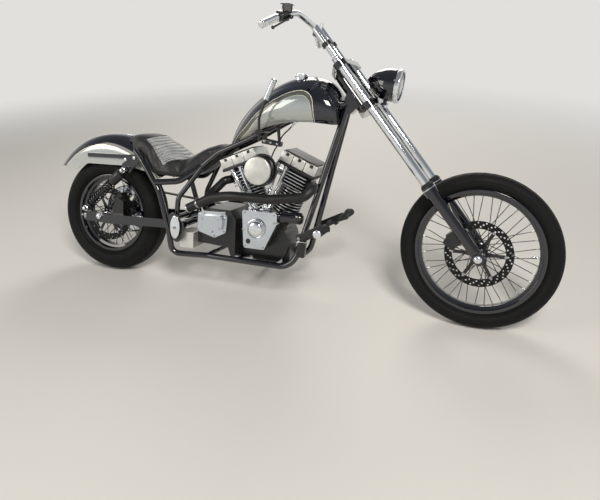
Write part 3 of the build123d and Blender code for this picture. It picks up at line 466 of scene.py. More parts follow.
def plate(
    outline: Sequence[Iterable[float]], depth: Iterable[float], edge: float = 1.0, rounds: int = 2,
) -> Piece:
    """Fills an outline, extrudes it and rounds its edges.

    Args:
        outline: The corners, in mm.
        depth: How far it is extruded, in mm along X, Y and Z.
        edge: The width of the rounded edges, in mm.
        rounds: The steps of each rounded edge.

    Returns:
        The closed piece.
    """
    corners = [metres(p) for p in outline]
    piece = trace(corners + corners[:1])
    weld()
    bpy.ops.mesh.edge_face_add()
    bpy.ops.mesh.extrude_region_move(TRANSFORM_OT_translate={"value": metres(depth)})
    face_outward()
    if edge:
        bpy.ops.mesh.bevel(offset=edge * MM, segments=rounds, affect="EDGES")
    return settle(piece)


def bar(
    start: Iterable[float], end: Iterable[float], radius: float, end_radius: float | None = None,
    sides: int = 24, edge: float = 0.6,
) -> Piece:
    """A round or faceted bar with rounded rims.

    Args:
        start: The middle of one end, in mm.
        end: The middle of the other end, in mm.
        radius: The radius at the start, in mm.
        end_radius: The radius at the end, if it differs.
        sides: How many sides it has.
        edge: The width of its rounded rims, in mm.

    Returns:
        The closed piece.
    """
    start, end = metres(start), metres(end)
    along = end - start
    clear_selection()
    bpy.ops.mesh.primitive_cone_add(
        vertices=sides, radius1=radius * MM, radius2=(radius if end_radius is None else end_radius) * MM,
        depth=along.length, location=(start + end) / 2, rotation=along.to_track_quat("Z", "Y").to_euler(),
    )
    piece = bpy.context.object
    bpy.ops.object.mode_set(mode="EDIT")
    bpy.ops.mesh.select_face_by_sides(number=4, type="GREATER", extend=False)
    bpy.ops.mesh.bevel(offset=edge * MM, segments=2, affect="EDGES")
    return settle(piece)


def bolt(seat: Iterable[float], out: Vector, radius: float, height: float) -> Piece:
    """A socket-head bolt with its hexagon recess.

    Args:
        seat: The middle of the face that it sits on, in mm.
        out: The direction that its head points in.
        radius: The head's radius, in mm.
        height: The head's height, in mm.

    Returns:
        The closed piece.
    """
    out = out.normalized()
    seat = Vector(seat)
    piece = bar(seat - out * 0.4, seat + out * height, radius, sides=12, edge=0.12 * radius)
    top = metres(seat + out * height)
    bpy.ops.object.mode_set(mode="EDIT")
    select_faces(piece, lambda middle, normal: normal.dot(out) > 0.99 and (middle - top).length < MM)
    bpy.ops.mesh.inset(thickness=0.42 * radius * MM)
    bpy.ops.mesh.extrude_region_move(TRANSFORM_OT_translate={"value": -out * height * 0.55 * MM})
    return settle(piece)


def tube(points: Sequence[Iterable[float]], radius: float, rounds: int = 3) -> Piece:
    """A smooth round tube along control points.

    Args:
        points: The control points of its line, in mm.
        radius: Its radius, in mm.
        rounds: The steps of each quarter of its section.

    Returns:
        The closed piece.
    """
    curve = bpy.data.curves.new("tube", "CURVE")
    curve.dimensions = "3D"
    curve.bevel_depth, curve.bevel_resolution = radius * MM, rounds
    curve.use_fill_caps = True
    line = curve.splines.new("NURBS")
    line.points.add(len(points) - 1)
    for control, point in zip(line.points, points):
        control.co = (*metres(point), 1)
    line.order_u = 3
    line.use_endpoint_u = True
    piece = bpy.data.objects.new("tube", curve)
    link(piece)
    take(piece)
    bpy.ops.object.convert(target="MESH")
    return bpy.context.object


def coil(start: Vector, end: Vector, radius: float, wire: float, turns: float) -> Piece:
    """A coil spring round a straight line.

    Args:
        start: The middle of its first turn, in mm.
        end: The middle of its last turn, in mm.
        radius: The radius of the wire's line, in mm.
        wire: The wire's radius, in mm.
        turns: How many turns it has.

    Returns:
        The closed piece.
    """
    along = end - start
    out = along.orthogonal().normalized()
    over = along.normalized().cross(out)
    per_turn = 12
    count = int(turns * per_turn) + 1
    points = []
    for step in range(count):
        turn = step * FULL_TURN / per_turn
        points.append(
            start + along * (step / (count - 1)) + (out * cos(turn) + over * sin(turn)) * radius
        )
    return tube(points, wire, rounds=2)


def join(pieces: Sequence[Piece]) -> Piece:
    """Joins pieces into one, each keeping its finish.

    Args:
        pieces: The pieces.

    Returns:
        The joined piece.
    """
    take(pieces[0])
    if len(pieces) > 1:
        for piece in pieces:
            piece.select_set(True)
        bpy.ops.object.join()
    return settle(bpy.context.object)


def copies(piece: Piece, moves: Sequence[Matrix]) -> list[Piece]:
    """Copies a piece, each copy with its own mesh, and drops the first one.

    Args:
        piece: The piece that repeats.
        moves: Where each copy goes, in metres.

    Returns:
        The copies.
    """
    made = []
    for move in moves:
        copy = piece.copy()
        copy.data = piece.data.copy()
        copy.data.transform(move)
        if move.is_negative:
            copy.data.flip_normals()
        link(copy)
        made.append(copy)
    discard(piece)
    return made


def discard(piece: Piece) -> None:
    """Takes a piece that was only a means out of the scene."""
    bpy.data.objects.remove(piece)


def cut(piece: Piece, cutter: Piece) -> Piece:
    """Cuts one piece's shape out of another.

    Args:
        piece: The piece that stays.
        cutter: The piece that is cut away.

    Returns:
        The piece that stays.
    """
    modify(piece, "BOOLEAN", operation="DIFFERENCE", solver="EXACT", object=cutter)
    discard(cutter)
    return piece


MIRROR = Matrix.Scale(-1, 4, LEFT)
STAY = Matrix.Identity(4)


def both_sides(pieces: Sequence[Piece]) -> list[Piece]:
    """The pieces as one, and their mirror image on the other side."""
    return copies(join(pieces), [STAY, MIRROR])


def spread(centre: Iterable[float], count: int, first: float = 0.0, axis: str = "Y") -> list[Matrix]:
    """Even turns about an axis.

    Args:
        centre: A point of the axis, in mm.
        count: How many turns there are.
        first: The first turn, in degrees.
        axis: X, Y or Z.

    Returns:
        The moves, in metres.
    """
    there, back = Matrix.Translation(metres(centre)), Matrix.Translation(-metres(centre))
    turns = [radians(first) + i * FULL_TURN / count for i in range(count)]
    return [there @ Matrix.Rotation(turn, 4, axis) @ back for turn in turns]


def arc(start: Pair, through: Pair, end: Pair, steps: int) -> list[Pair]:
    """Points on the circle arc through three points.

    Args:
        start: The arc's start.
        through: A point on it.
        end: Its end.
        steps: How many steps it has.

    Returns:
        The points, with both ends.
    """
    (ax, ay), (bx, by), (cx, cy) = start, through, end
    twice = 2 * (ax * (by - cy) + bx * (cy - ay) + cx * (ay - by))
    a2, b2, c2 = ax * ax + ay * ay, bx * bx + by * by, cx * cx + cy * cy
    ox = (a2 * (by - cy) + b2 * (cy - ay) + c2 * (ay - by)) / twice
    oy = (a2 * (cx - bx) + b2 * (ax - cx) + c2 * (bx - ax)) / twice
    radius = sqrt((ax - ox) ** 2 + (ay - oy) ** 2)
    turns = [atan2(y - oy, x - ox) for x, y in (start, through, end)]
    sweep = (turns[2] - turns[0]) % FULL_TURN
    if (turns[1] - turns[0]) % FULL_TURN > sweep:
        sweep -= FULL_TURN
    return [
        (ox + radius * cos(turns[0] + sweep * i / steps), oy + radius * sin(turns[0] + sweep * i / steps))
        for i in range(steps + 1)
    ]


def add_node(
    tree: Tree, kind: str, settings: dict[str, object] | None = None,
    values: dict[str | int, object] | None = None, links: dict[str | int, Socket] | None = None,
) -> Node:
    """Adds a shader node with its settings, values and links.

    Args:
        tree: The node tree.
        kind: The node's type.
        settings: Attributes of the node.
        values: Default values by input.
        links: The sockets that feed its inputs.

    Returns:
        The node.
    """
    node = tree.nodes.new(kind)
    for key, value in (settings or {}).items():
        setattr(node, key, value)
    for key, value in (values or {}).items():
        node.inputs[key].default_value = value
    for key, socket in (links or {}).items():
        tree.links.new(socket, node.inputs[key])
    return node


def upright_coordinates(tree: Tree) -> Socket:
    """Object coordinates turned back to the upright machine, in metres.

    Args:
        tree: The material's nodes.

    Returns:
        The coordinates.
    """
    place = add_node(tree, "ShaderNodeTexCoord")
    lean = radians(STANCE.lean)
    mapping = add_node(
        tree, "ShaderNodeMapping",
        values={
            "Location": (0, STANCE.shift * cos(lean), STANCE.shift * sin(lean)), "Rotation": (lean, 0, 0),
        },
        links={"Vector": place.outputs["Object"]},
    )
    return mapping.outputs["Vector"]


def math_node(tree: Tree, operation: str, *terms: float | Socket) -> Socket:
    """A sum, product or other operation on numbers and sockets.

    Args:
        tree: The material's nodes.
        operation: The operation's name.
        terms: What it works on.

    Returns:
        The result.
    """
    node = add_node(tree, "ShaderNodeMath", {"operation": operation})
    for place, term in enumerate(terms):
        if isinstance(term, Socket):
            tree.links.new(term, node.inputs[place])
        else:
            node.inputs[place].default_value = term
    return node.outputs[0]


def map_range(
    tree: Tree, value: Socket, low: float = 0.0, high: float = 1.0, to_low: float = 0.0, to_high: float = 1.0
) -> Socket:
    """Stretches the range from low to high onto another one, and clamps it.

    Args:
        tree: The material's nodes.
        value: The value.
        low: Where its range starts.
        high: Where its range ends.
        to_low: Where the other range starts.
        to_high: Where the other range ends.

    Returns:
        The value in the other range.
    """
    node = add_node(
        tree, "ShaderNodeMapRange", values={1: low, 2: high, 3: to_low, 4: to_high}, links={0: value},
    )
    return node.outputs[0]


def axes(tree: Tree, place: Socket) -> list[Socket]:
    """The X, Y and Z of a place."""
    return list(add_node(tree, "ShaderNodeSeparateXYZ", links={0: place}).outputs)


def length(tree: Tree, first: Socket, second: float | Socket) -> Socket:
    """The length of a run with two legs."""
    squares = [math_node(tree, "MULTIPLY", leg, leg) for leg in (first, second)]
    return math_node(tree, "SQRT", math_node(tree, "ADD", *squares))


def add_bump(tree: Tree, shader: Node, height: Socket, strength: float, distance: float) -> None:
    """Gives a shader the bump of a height map, with its distance in mm.

    Args:
        tree: The material's nodes.
        shader: The shader to change.
        height: The height map.
        strength: How much of the bump shows.
        distance: The height of its relief, in mm.
    """
    node = add_node(
        tree, "ShaderNodeBump", values={"Strength": strength, "Distance": distance * MM},
        links={"Height": height},
    )
    tree.links.new(node.outputs["Normal"], shader.inputs["Normal"])


def blend_colours(tree: Tree, share: Socket, first: Colour | Socket, second: Colour | Socket) -> Socket:
    """Mixes two colours by a share of the second.

    Args:
        tree: The material's nodes.
        share: The second colour's share.
        first: The first colour.
        second: The second colour.

    Returns:
        The mixed colour.
    """
    node = add_node(tree, "ShaderNodeMix", {"data_type": "RGBA"}, links={0: share})
    for place, colour in ((6, first), (7, second)):
        if isinstance(colour, Socket):
            tree.links.new(colour, node.inputs[place])
        else:
            node.inputs[place].default_value = colour
    return node.outputs[2]


@dataclass(frozen=True)
class Finish:
    """A finish: its colours, its shine and the fine detail of its surface.

    The colour drifts to the second one in patches, the roughness drifts with it, and a grain
    gives the bump. Patches and grain are sizes in mm; stretch draws the grain out along X,
    Y and Z, as brushing does.
    """

    name: str
    colour: str
    second: str
    roughness: Pair
    metallic: float = 0
    coat: float = 0
    patch: float = 60
    grain: float = 1.5
    bump: float = 0.02
    stretch: Triple = (1, 1, 1)
    bump_strength: float = 0.6
    patch_edges: Pair = (0.38, 0.72)
    shine_edges: Pair = (0.3, 0.7)
    lacquer_roughness: float = 0.03

    def noise(self, tree: Tree, place: Socket, size: float, detail: float) -> Socket:
        """Noise with features of a size in mm.

        Args:
            tree: The material's nodes.
            place: Object coordinates on the upright machine.
            size: The features' size, in mm.
            detail: How many finer layers it has.

        Returns:
            The noise.
        """
        node = add_node(
            tree, "ShaderNodeTexNoise", values={"Scale": 1 / (size * MM), "Detail": detail},
            links={"Vector": place},
        )
        return node.outputs["Fac"]

    def base(self, tree: Tree, place: Socket, drift: Socket) -> Socket:
        """The base colour: the two colours in soft patches."""
        share = map_range(tree, drift, *self.patch_edges)
        return blend_colours(tree, share, linear(self.colour), linear(self.second))

    def shine(self, tree: Tree, drift: Socket) -> Socket:
        """The roughness, which drifts between its two values."""
        return map_range(tree, drift, *self.shine_edges, *self.roughness)

    def build(self) -> bpy.types.Material:
        """The material, made the first time that it is asked for.

        Returns:
            The material.
        """
        if self.name in bpy.data.materials:
            return bpy.data.materials[self.name]
        material = bpy.data.materials.new(self.name)
        material.use_nodes = True
        tree = material.node_tree
        shader = tree.nodes["Principled BSDF"]
        shader.inputs["Metallic"].default_value = self.metallic
        shader.inputs["Coat Weight"].default_value = self.coat
        shader.inputs["Coat Roughness"].default_value = self.lacquer_roughness
        place = upright_coordinates(tree)
        drift = self.noise(tree, place, self.patch, 3)
        tree.links.new(self.base(tree, place, drift), shader.inputs["Base Color"])
        tree.links.new(self.shine(tree, drift), shader.inputs["Roughness"])
        drawn = add_node(
            tree, "ShaderNodeMapping", values={"Scale": self.stretch}, links={"Vector": place}
        )
        grain = self.noise(tree, drawn.outputs["Vector"], self.grain, 2)
        add_bump(tree, shader, grain, self.bump_strength, self.bump)
        self.extra(tree, shader, place)
        return material

    def extra(self, tree: Tree, shader: Node, place: Socket) -> None:
        """What a finish has beyond its colours, shine and grain."""


@dataclass(frozen=True)
class PanelPaint(Finish):
    """Two-pack enamel with a silver side panel inside two hair lines and an olive band.

    The panel lies under an edge curve of X and Z points in mm; the fade goes from the first
    silver at the top to the second at the bottom.
    """

    edge: Table = ()
    low: float = 0
    high: float = 1
    line: str = "#e9e6d6"
    band: str = "#5d6059"
    silver_top: str = "#8e9aa1"
    silver_low: str = "#c9cac1"
    band_wide: float = 22
    line_wide: float = 2.4
    flake: float = 0.35
    slope_step: float = 4

    def height(self, tree: Tree, along: Socket, ahead: float) -> Socket:
        """The edge curve's height at a place ahead of this one, in metres.

        Args:
            tree: The material's nodes.
            along: The place's X, in metres.
            ahead: How far ahead of it, in mm.

        Returns:
            The height.
        """
        first, last = self.edge[0][0], self.edge[-1][0]
        share = map_range(tree, along, (first - ahead) * MM, (last - ahead) * MM)
        curve = add_node(tree, "ShaderNodeFloatCurve", links={1: share})
        points = curve.mapping.curves[0].points
        span = self.high - self.low
        spots = [((x - first) / (last - first), (z - self.low) / span) for x, z in self.edge]
        points[0].location, points[1].location = spots[0], spots[-1]
        for spot in spots[1:-1]:
            points.new(*spot)
        curve.mapping.update()
        return map_range(tree, curve.outputs[0], to_low=self.low * MM, to_high=self.high * MM)

    def depth(self, tree: Tree, place: Socket) -> Socket:
        """How far a place is inside the panel's edge, in mm.

        Args:
            tree: The material's nodes.
            place: Object coordinates on the upright machine.

        Returns:
            The depth.
        """
        x, _, z = axes(tree, place)
        step = self.slope_step
        here, ahead, behind = (self.height(tree, x, by) for by in (0, step, -step))
        rise = math_node(tree, "SUBTRACT", ahead, behind)
        steep = length(tree, math_node(tree, "DIVIDE", rise, 2 * step * MM), 1.0)
        below = math_node(tree, "SUBTRACT", here, z)
        return math_node(tree, "DIVIDE", math_node(tree, "DIVIDE", below, steep), MM)

    def base(self, tree: Tree, place: Socket, drift: Socket) -> Socket:
        """Black outside the panel, then line, band, line and fading silver.

        Args:
            tree: The material's nodes.
            place: Object coordinates on the upright machine.
            drift: The noise that the patches follow.

        Returns:
            The colour.
        """
        ground = Finish.base(self, tree, place, drift)
        rise = map_range(tree, axes(tree, place)[2], self.low * MM, self.high * MM)
        silver = blend_colours(tree, rise, linear(self.silver_low), linear(self.silver_top))
        depth = self.depth(tree, place)
        colour = ground
        for start, paint in (
            (0.0, linear(self.line)), (self.line_wide, linear(self.band)),
            (self.band_wide, linear(self.line)), (self.band_wide + 2.0, silver),
        ):
            colour = blend_colours(tree, math_node(tree, "GREATER_THAN", depth, start), colour, paint)
        return colour

    def extra(self, tree: Tree, shader: Node, place: Socket) -> None:
        """The panel's metal flake.

        Args:
            tree: The material's nodes.
            shader: The shader to change.
            place: Object coordinates on the upright machine.
        """
        inside = math_node(tree, "GREATER_THAN", self.depth(tree, place), self.line_wide)
        metal = math_node(tree, "MULTIPLY", inside, self.flake)
        tree.links.new(metal, shader.inputs["Metallic"])


@dataclass(frozen=True)
class FinnedIron(Finish):
    """Black enamelled cylinders whose fin edges are machined bright."""

    bright: str = "#cfd2d4"
    crank: Pair = (947, 281)
    half_vee: float = 22.5
    round_edge: float = 69.6
    square_edge: float = 73.6
    square_from: float = 308

    def base(self, tree: Tree, place: Socket, drift: Socket) -> Socket:
        """Black, with bright metal past a distance from either cylinder's axis."""
        bright = self.edge_mask(tree, place)
        return blend_colours(tree, bright, Finish.base(self, tree, place, drift), linear(self.bright))

    def edge_mask(self, tree: Tree, place: Socket) -> Socket:
        """One on the fins' edges and nought elsewhere.

        Args:
            tree: The material's nodes.
            place: Object coordinates on the upright machine.

        Returns:
            The mask.
        """
        masks = []
        for way in SIDES:
            turn = Matrix.Rotation(radians(way * self.half_vee), 3, "Y")
            centre = turn.inverted() @ metres((self.crank[0], 0, self.crank[1]))
            bank = add_node(
                tree, "ShaderNodeMapping",
                values={"Rotation": (0, radians(-way * self.half_vee), 0), "Location": tuple(-centre)},
                links={"Vector": place},
            )
            x, y, along = axes(tree, bank.outputs["Vector"])
            round_fin = math_node(tree, "GREATER_THAN", length(tree, x, y), self.round_edge * MM)
            reach = math_node(tree, "MAXIMUM", *(math_node(tree, "ABSOLUTE", leg) for leg in (x, y)))
            square_fin = math_node(tree, "GREATER_THAN", reach, self.square_edge * MM)
            upper = math_node(tree, "GREATER_THAN", along, self.square_from * MM)
            fin = add_node(
                tree, "ShaderNodeMix", links={0: upper, 2: round_fin, 3: square_fin}
            ).outputs[0]
            masks.append(fin)
        ahead = math_node(tree, "GREATER_THAN", axes(tree, place)[0], self.crank[0] * MM)
        both = add_node(tree, "ShaderNodeMix", links={0: ahead, 2: masks[0], 3: masks[1]})
        return both.outputs[0]

    def extra(self, tree: Tree, shader: Node, place: Socket) -> None:
        """The machined edges are bare metal."""
        tree.links.new(self.edge_mask(tree, place), shader.inputs["Metallic"])


@dataclass(frozen=True)
class Hide(Finish):
    """Upholstery leather: pebbles between fine creases, with a faint sheen."""

    pebble: float = 0.25
    pebble_strength: float = 0.7
    pebble_rise: float = 4
    sheen: float = 0.15

    def extra(self, tree: Tree, shader: Node, place: Socket) -> None:
        """Pebbles between fine creases, on top of the soft grain.

        Args:
            tree: The material's nodes.
            shader: The shader to change.
            place: Object coordinates on the upright machine.
        """
        cells = add_node(
            tree, "ShaderNodeTexVoronoi", {"feature": "DISTANCE_TO_EDGE"},
            {"Scale": 1 / (self.grain * MM)}, {"Vector": place},
        )
        pebble = math_node(tree, "MINIMUM", cells.outputs["Distance"], self.pebble)
        add_bump(tree, shader, pebble, self.pebble_strength, self.pebble_rise * self.bump)
        shader.inputs["Sheen Weight"].default_value = self.sheen


@dataclass(frozen=True)
class Rubber(Finish):
    """Tyre rubber: dull black, dusty grey where it has met the road."""

    dust: str = "#4a4a48"
    worn_from: float = 0
    worn_over: float = 4
    most_dust: float = 0.5
    least_drift: float = 0.35
    specular: float = 0.22
    axle: Pair = (0, 0)

    def base(self, tree: Tree, place: Socket, drift: Socket) -> Socket:
        """Black, with dust past a distance from the axle.

        Args:
            tree: The material's nodes.
            place: Object coordinates on the upright machine.
            drift: The noise that the patches follow.

        Returns:
            The colour.
        """
        ground = Finish.base(self, tree, place, drift)
        x, _, z = axes(tree, place)
        ahead = math_node(tree, "SUBTRACT", x, self.axle[0] * MM)
        above = math_node(tree, "SUBTRACT", z, self.axle[1] * MM)
        radius = length(tree, ahead, above)
        worn = map_range(
            tree, radius, self.worn_from * MM, (self.worn_from + self.worn_over) * MM,
            to_high=self.most_dust,
        )
        patchy = math_node(tree, "MULTIPLY", worn, math_node(tree, "ADD", drift, self.least_drift))
        return blend_colours(tree, patchy, ground, linear(self.dust))

    def extra(self, tree: Tree, shader: Node, place: Socket) -> None:
        """Carbon black takes the shine off the rubber."""
        shader.inputs["Specular IOR Level"].default_value = self.specular


@dataclass(frozen=True)
class Glass(Finish):
    """Clear pressed glass, ribbed on its inside face."""

    index: float = 1.5
    flute: float = 24
    flute_deep: float = 0.8
    flute_strength: float = 0.5

    def extra(self, tree: Tree, shader: Node, place: Socket) -> None:
        """Clear, with upright flutes.

        Args:
            tree: The material's nodes.
            shader: The shader to change.
            place: Object coordinates on the upright machine.
        """
        shader.inputs["Transmission Weight"].default_value = 1.0
        shader.inputs["IOR"].default_value = self.index
        wave = add_node(
            tree, "ShaderNodeTexWave", {"bands_direction": "Y"},
            {"Scale": 1 / (self.flute * MM), "Distortion": 0.0}, {"Vector": place},
        )
        add_bump(tree, shader, wave.outputs["Fac"], self.flute_strength, self.flute_deep)


# Two-pack enamel, flatted and polished: a deep black with a hint of blue under clear lacquer
BLACK_ENAMEL = Finish(
    "black_two_pack_enamel", "#050610", "#080b18", (0.07, 0.12), coat=1.0, patch=180, grain=5, bump=0.01,
)
# Powder coat, baked on: an even black whose fine orange peel breaks up the highlights
POWDER_COAT = Finish(
    "black_powder_coat", "#0d0e10", "#131417", (0.26, 0.38), coat=0.25, patch=90, grain=2.4, bump=0.05,
)
# Heat-proof black: duller, and greyer in patches, as heat and dust leave it
HEAT_BLACK = Finish("heat_proof_black", "#0c0c0e", "#1b1a1d", (0.3, 0.5), patch=70, grain=1.6, bump=0.05)
# Triple-plated chrome: a mirror with the faintest blue and hardly any texture
CHROME = Finish(
    "chrome_plate", "#e9ecef", "#dfe3e8", (0.03, 0.08), metallic=1.0, patch=45, grain=6, bump=0.004,
)
# Aluminium castings, buffed: bright but soft, with fine buffing lines along X
BUFFED_ALLOY = Finish(
    "buffed_aluminium", "#d2d6da", "#c2c7cd", (0.09, 0.15), metallic=1.0, patch=110,
    grain=1.2, bump=0.006, stretch=(0.2, 1, 1),
)
# Aluminium with a satin bead-blasted face: pale, with an even fine grain
SATIN_ALLOY = Finish(
    "bead_blasted_aluminium", "#d9d9d5", "#c6c7c4", (0.34, 0.46), metallic=0.85,
    patch=40, grain=1.0, bump=0.04,
)
# Zinc-plated steel fasteners: light grey, a little uneven
ZINC_STEEL = Finish(
    "zinc_plated_steel", "#b4b6b8", "#8f9295", (0.22, 0.38), metallic=1.0, patch=12, grain=0.8, bump=0.02,
)
# Machined steel: ground bright, a little uneven
BARE_STEEL = Finish(
    "ground_steel", "#9da0a3", "#7d8083", (0.2, 0.34), metallic=1.0, patch=18, grain=0.9, bump=0.02,
)
# Brake steel, blackened: nearly black, a little uneven
DARK_STEEL = Finish(
    "blackened_disc_steel", "#17181a", "#232527", (0.28, 0.42), metallic=0.7, patch=20,
    grain=1.0, bump=0.03,
)
# Moulded rubber: dull charcoal with a faint bloom
MOULDED_RUBBER = Finish(
    "moulded_rubber", "#141516", "#1f2021", (0.6, 0.8), patch=30, grain=1.2, bump=0.06
)
# Upholstery cowhide, dyed black: pebbles about 2.4 mm across, drawn coarser than real to show
BLACK_HIDE = Hide("black_cowhide", "#101114", "#1a1c20", (0.34, 0.5), patch=70, grain=2.4, bump=0.06)
# The same hide dyed dove grey on the pleats, a little soiled in patches
GREY_HIDE = Hide("dove_grey_cowhide", "#a3a6a8", "#878b8e", (0.4, 0.55), patch=40, grain=2.4, bump=0.05)
# Pressed headlight glass: clear, with shallow flutes
LAMP_GLASS = Glass("pressed_lamp_glass", "#f4f7f8", "#eef2f4", (0.01, 0.03), patch=50, grain=8, bump=0.01)
# Silvered reflector behind the glass: brighter than chrome and nearly smooth
REFLECTOR = Finish(
    "silvered_reflector", "#f6f6f4", "#eeeeea", (0.04, 0.1), metallic=1.0, patch=60, grain=9, bump=0.002,
)
# Cylinders: cast iron enamelled black, the fins' edges turned bright
FINNED_IRON = FinnedIron(
    "enamelled_cast_iron", "#0b0b0d", "#151517", (0.25, 0.4), patch=30, grain=1.5, bump=0.08,
)
# Tyre rubber: near black, dusty past a distance from each axle
FRONT_RUBBER = Rubber(
    "front_tyre_rubber", "#090a0b", "#101113", (0.6, 0.78), patch=60, grain=1.4,
    bump=0.07, worn_from=342.0, axle=(STANCE.wheelbase, STANCE.front_z),
)
REAR_RUBBER = Rubber(
    "rear_tyre_rubber", "#090a0b", "#101113", (0.6, 0.78), patch=60, grain=1.4,
    bump=0.07, worn_from=315.0, axle=(0, STANCE.rear_z),
)
# The same enamel with a silver side panel, for the tank and for the fender
TANK_PAINT = PanelPaint(
    "tank_two_pack_enamel", "#050714", "#090e22", (0.07, 0.12), coat=1.0,
    patch=180, grain=5, bump=0.008, low=730, high=1060,
    edge=(
        (706, 738), (738, 768), (774, 806), (820, 846), (872, 899), (922, 941), (969, 976), (1010, 998),
        (1046, 1015), (1082, 1026), (1113, 1030), (1138, 1027), (1158, 1016), (1172, 1000),
        (1181, 974), (1185, 930), (1187, 860), (1190, 760),
    ),
)
FENDER_PAINT = PanelPaint(
    "fender_two_pack_enamel", "#050714", "#090e22", (0.07, 0.12), coat=1.0,
    patch=180, grain=5, bump=0.008, low=500, high=740,
    edge=(
        (-420, 505), (-330, 508), (-290, 560), (-250, 600), (-208, 638), (-146, 676), (-85, 698),
        (-32, 708), (40, 702), (118, 681), (194, 648), (260, 604), (330, 560), (400, 520),
    ),
    band_wide=3.0, silver_top="#a9b2b7", silver_low="#c8c9c0",
)


def coat(finish: Finish, *pieces: Piece) -> list[Piece]:
    """Gives pieces one finish all over.

    Args:
        finish: The finish.
        pieces: The pieces.

    Returns:
        The pieces.
    """
    for piece in pieces:
        piece.data.materials.clear()
        piece.data.materials.append(finish.build())
    return list(pieces)


def install(
    name: str, pieces: Sequence[Piece], slot: Slot, *stands_for: str, body: Body = Body.CHASSIS,
    smooth: float = 35,
) -> None:
    """Joins finished pieces, leans them onto the stand and hands them to the frame as one.

    Args:
        name: The whole piece's name.
        pieces: The pieces, coated.
        slot: The record's material slot that it stands for; not used.
        stands_for: The CAD nodes that it replaces.
        body: The body that it rides on.
        smooth: The angle up to which faces are shaded as one, in degrees.
    """
    piece = join(pieces)
    piece.name = piece.data.name = name
    bpy.ops.object.shade_smooth_by_angle(angle=radians(smooth))
    piece.data.transform(STANCE.matrix)
    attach(piece, body.value)
    if stands_for:
        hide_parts(*stands_for)
    log.info("%s rides on %s, %d faces", piece.name, body.value, len(piece.data.polygons))


NODE_FINISHES: dict[Finish, tuple[str, ...]] = {
    BLACK_ENAMEL: (
        "frame_backbone", "frame_downtubes", "frame_lower_rails", "frame_rear_uprights",
        "frame_pivot_stays", "frame_cradle", "swingarm", "fender_struts", "headlight_shell",
        "fork_lower_legs", "lower_triple_tree", "upper_triple_tree",
    ),
    POWDER_COAT: (
        "crankcase", "side_stand", "bar_controls", "primary_cover", "hand_shift_lever",
        "front_caliper", "rear_caliper", "transmission",
    ),
    CHROME: ("fork_tubes", "handlebar", "pushrod_tubes", "front_axle", "rear_axle"),
    BUFFED_ALLOY: ("side_covers", "carburettor", "rear_pulley"),
    SATIN_ALLOY: ("battery_box",),
    BARE_STEEL: ("front_sprocket",),
    HEAT_BLACK: ("exhaust_pipes",),
    MOULDED_RUBBER: ("drive_belt",),
    FINNED_IRON: ("cylinders",),
    LAMP_GLASS: ("headlight_lens",),
    TANK_PAINT: ("fuel_tank",),
}


def dress_nodes(nodes: dict[str, Piece]) -> None:
    """Gives every CAD node that stays on show its finish.

    Args:
        nodes: The frame's nodes by name.
    """
    for finish, names in NODE_FINISHES.items():
        coat(finish, *(nodes[name] for name in names))


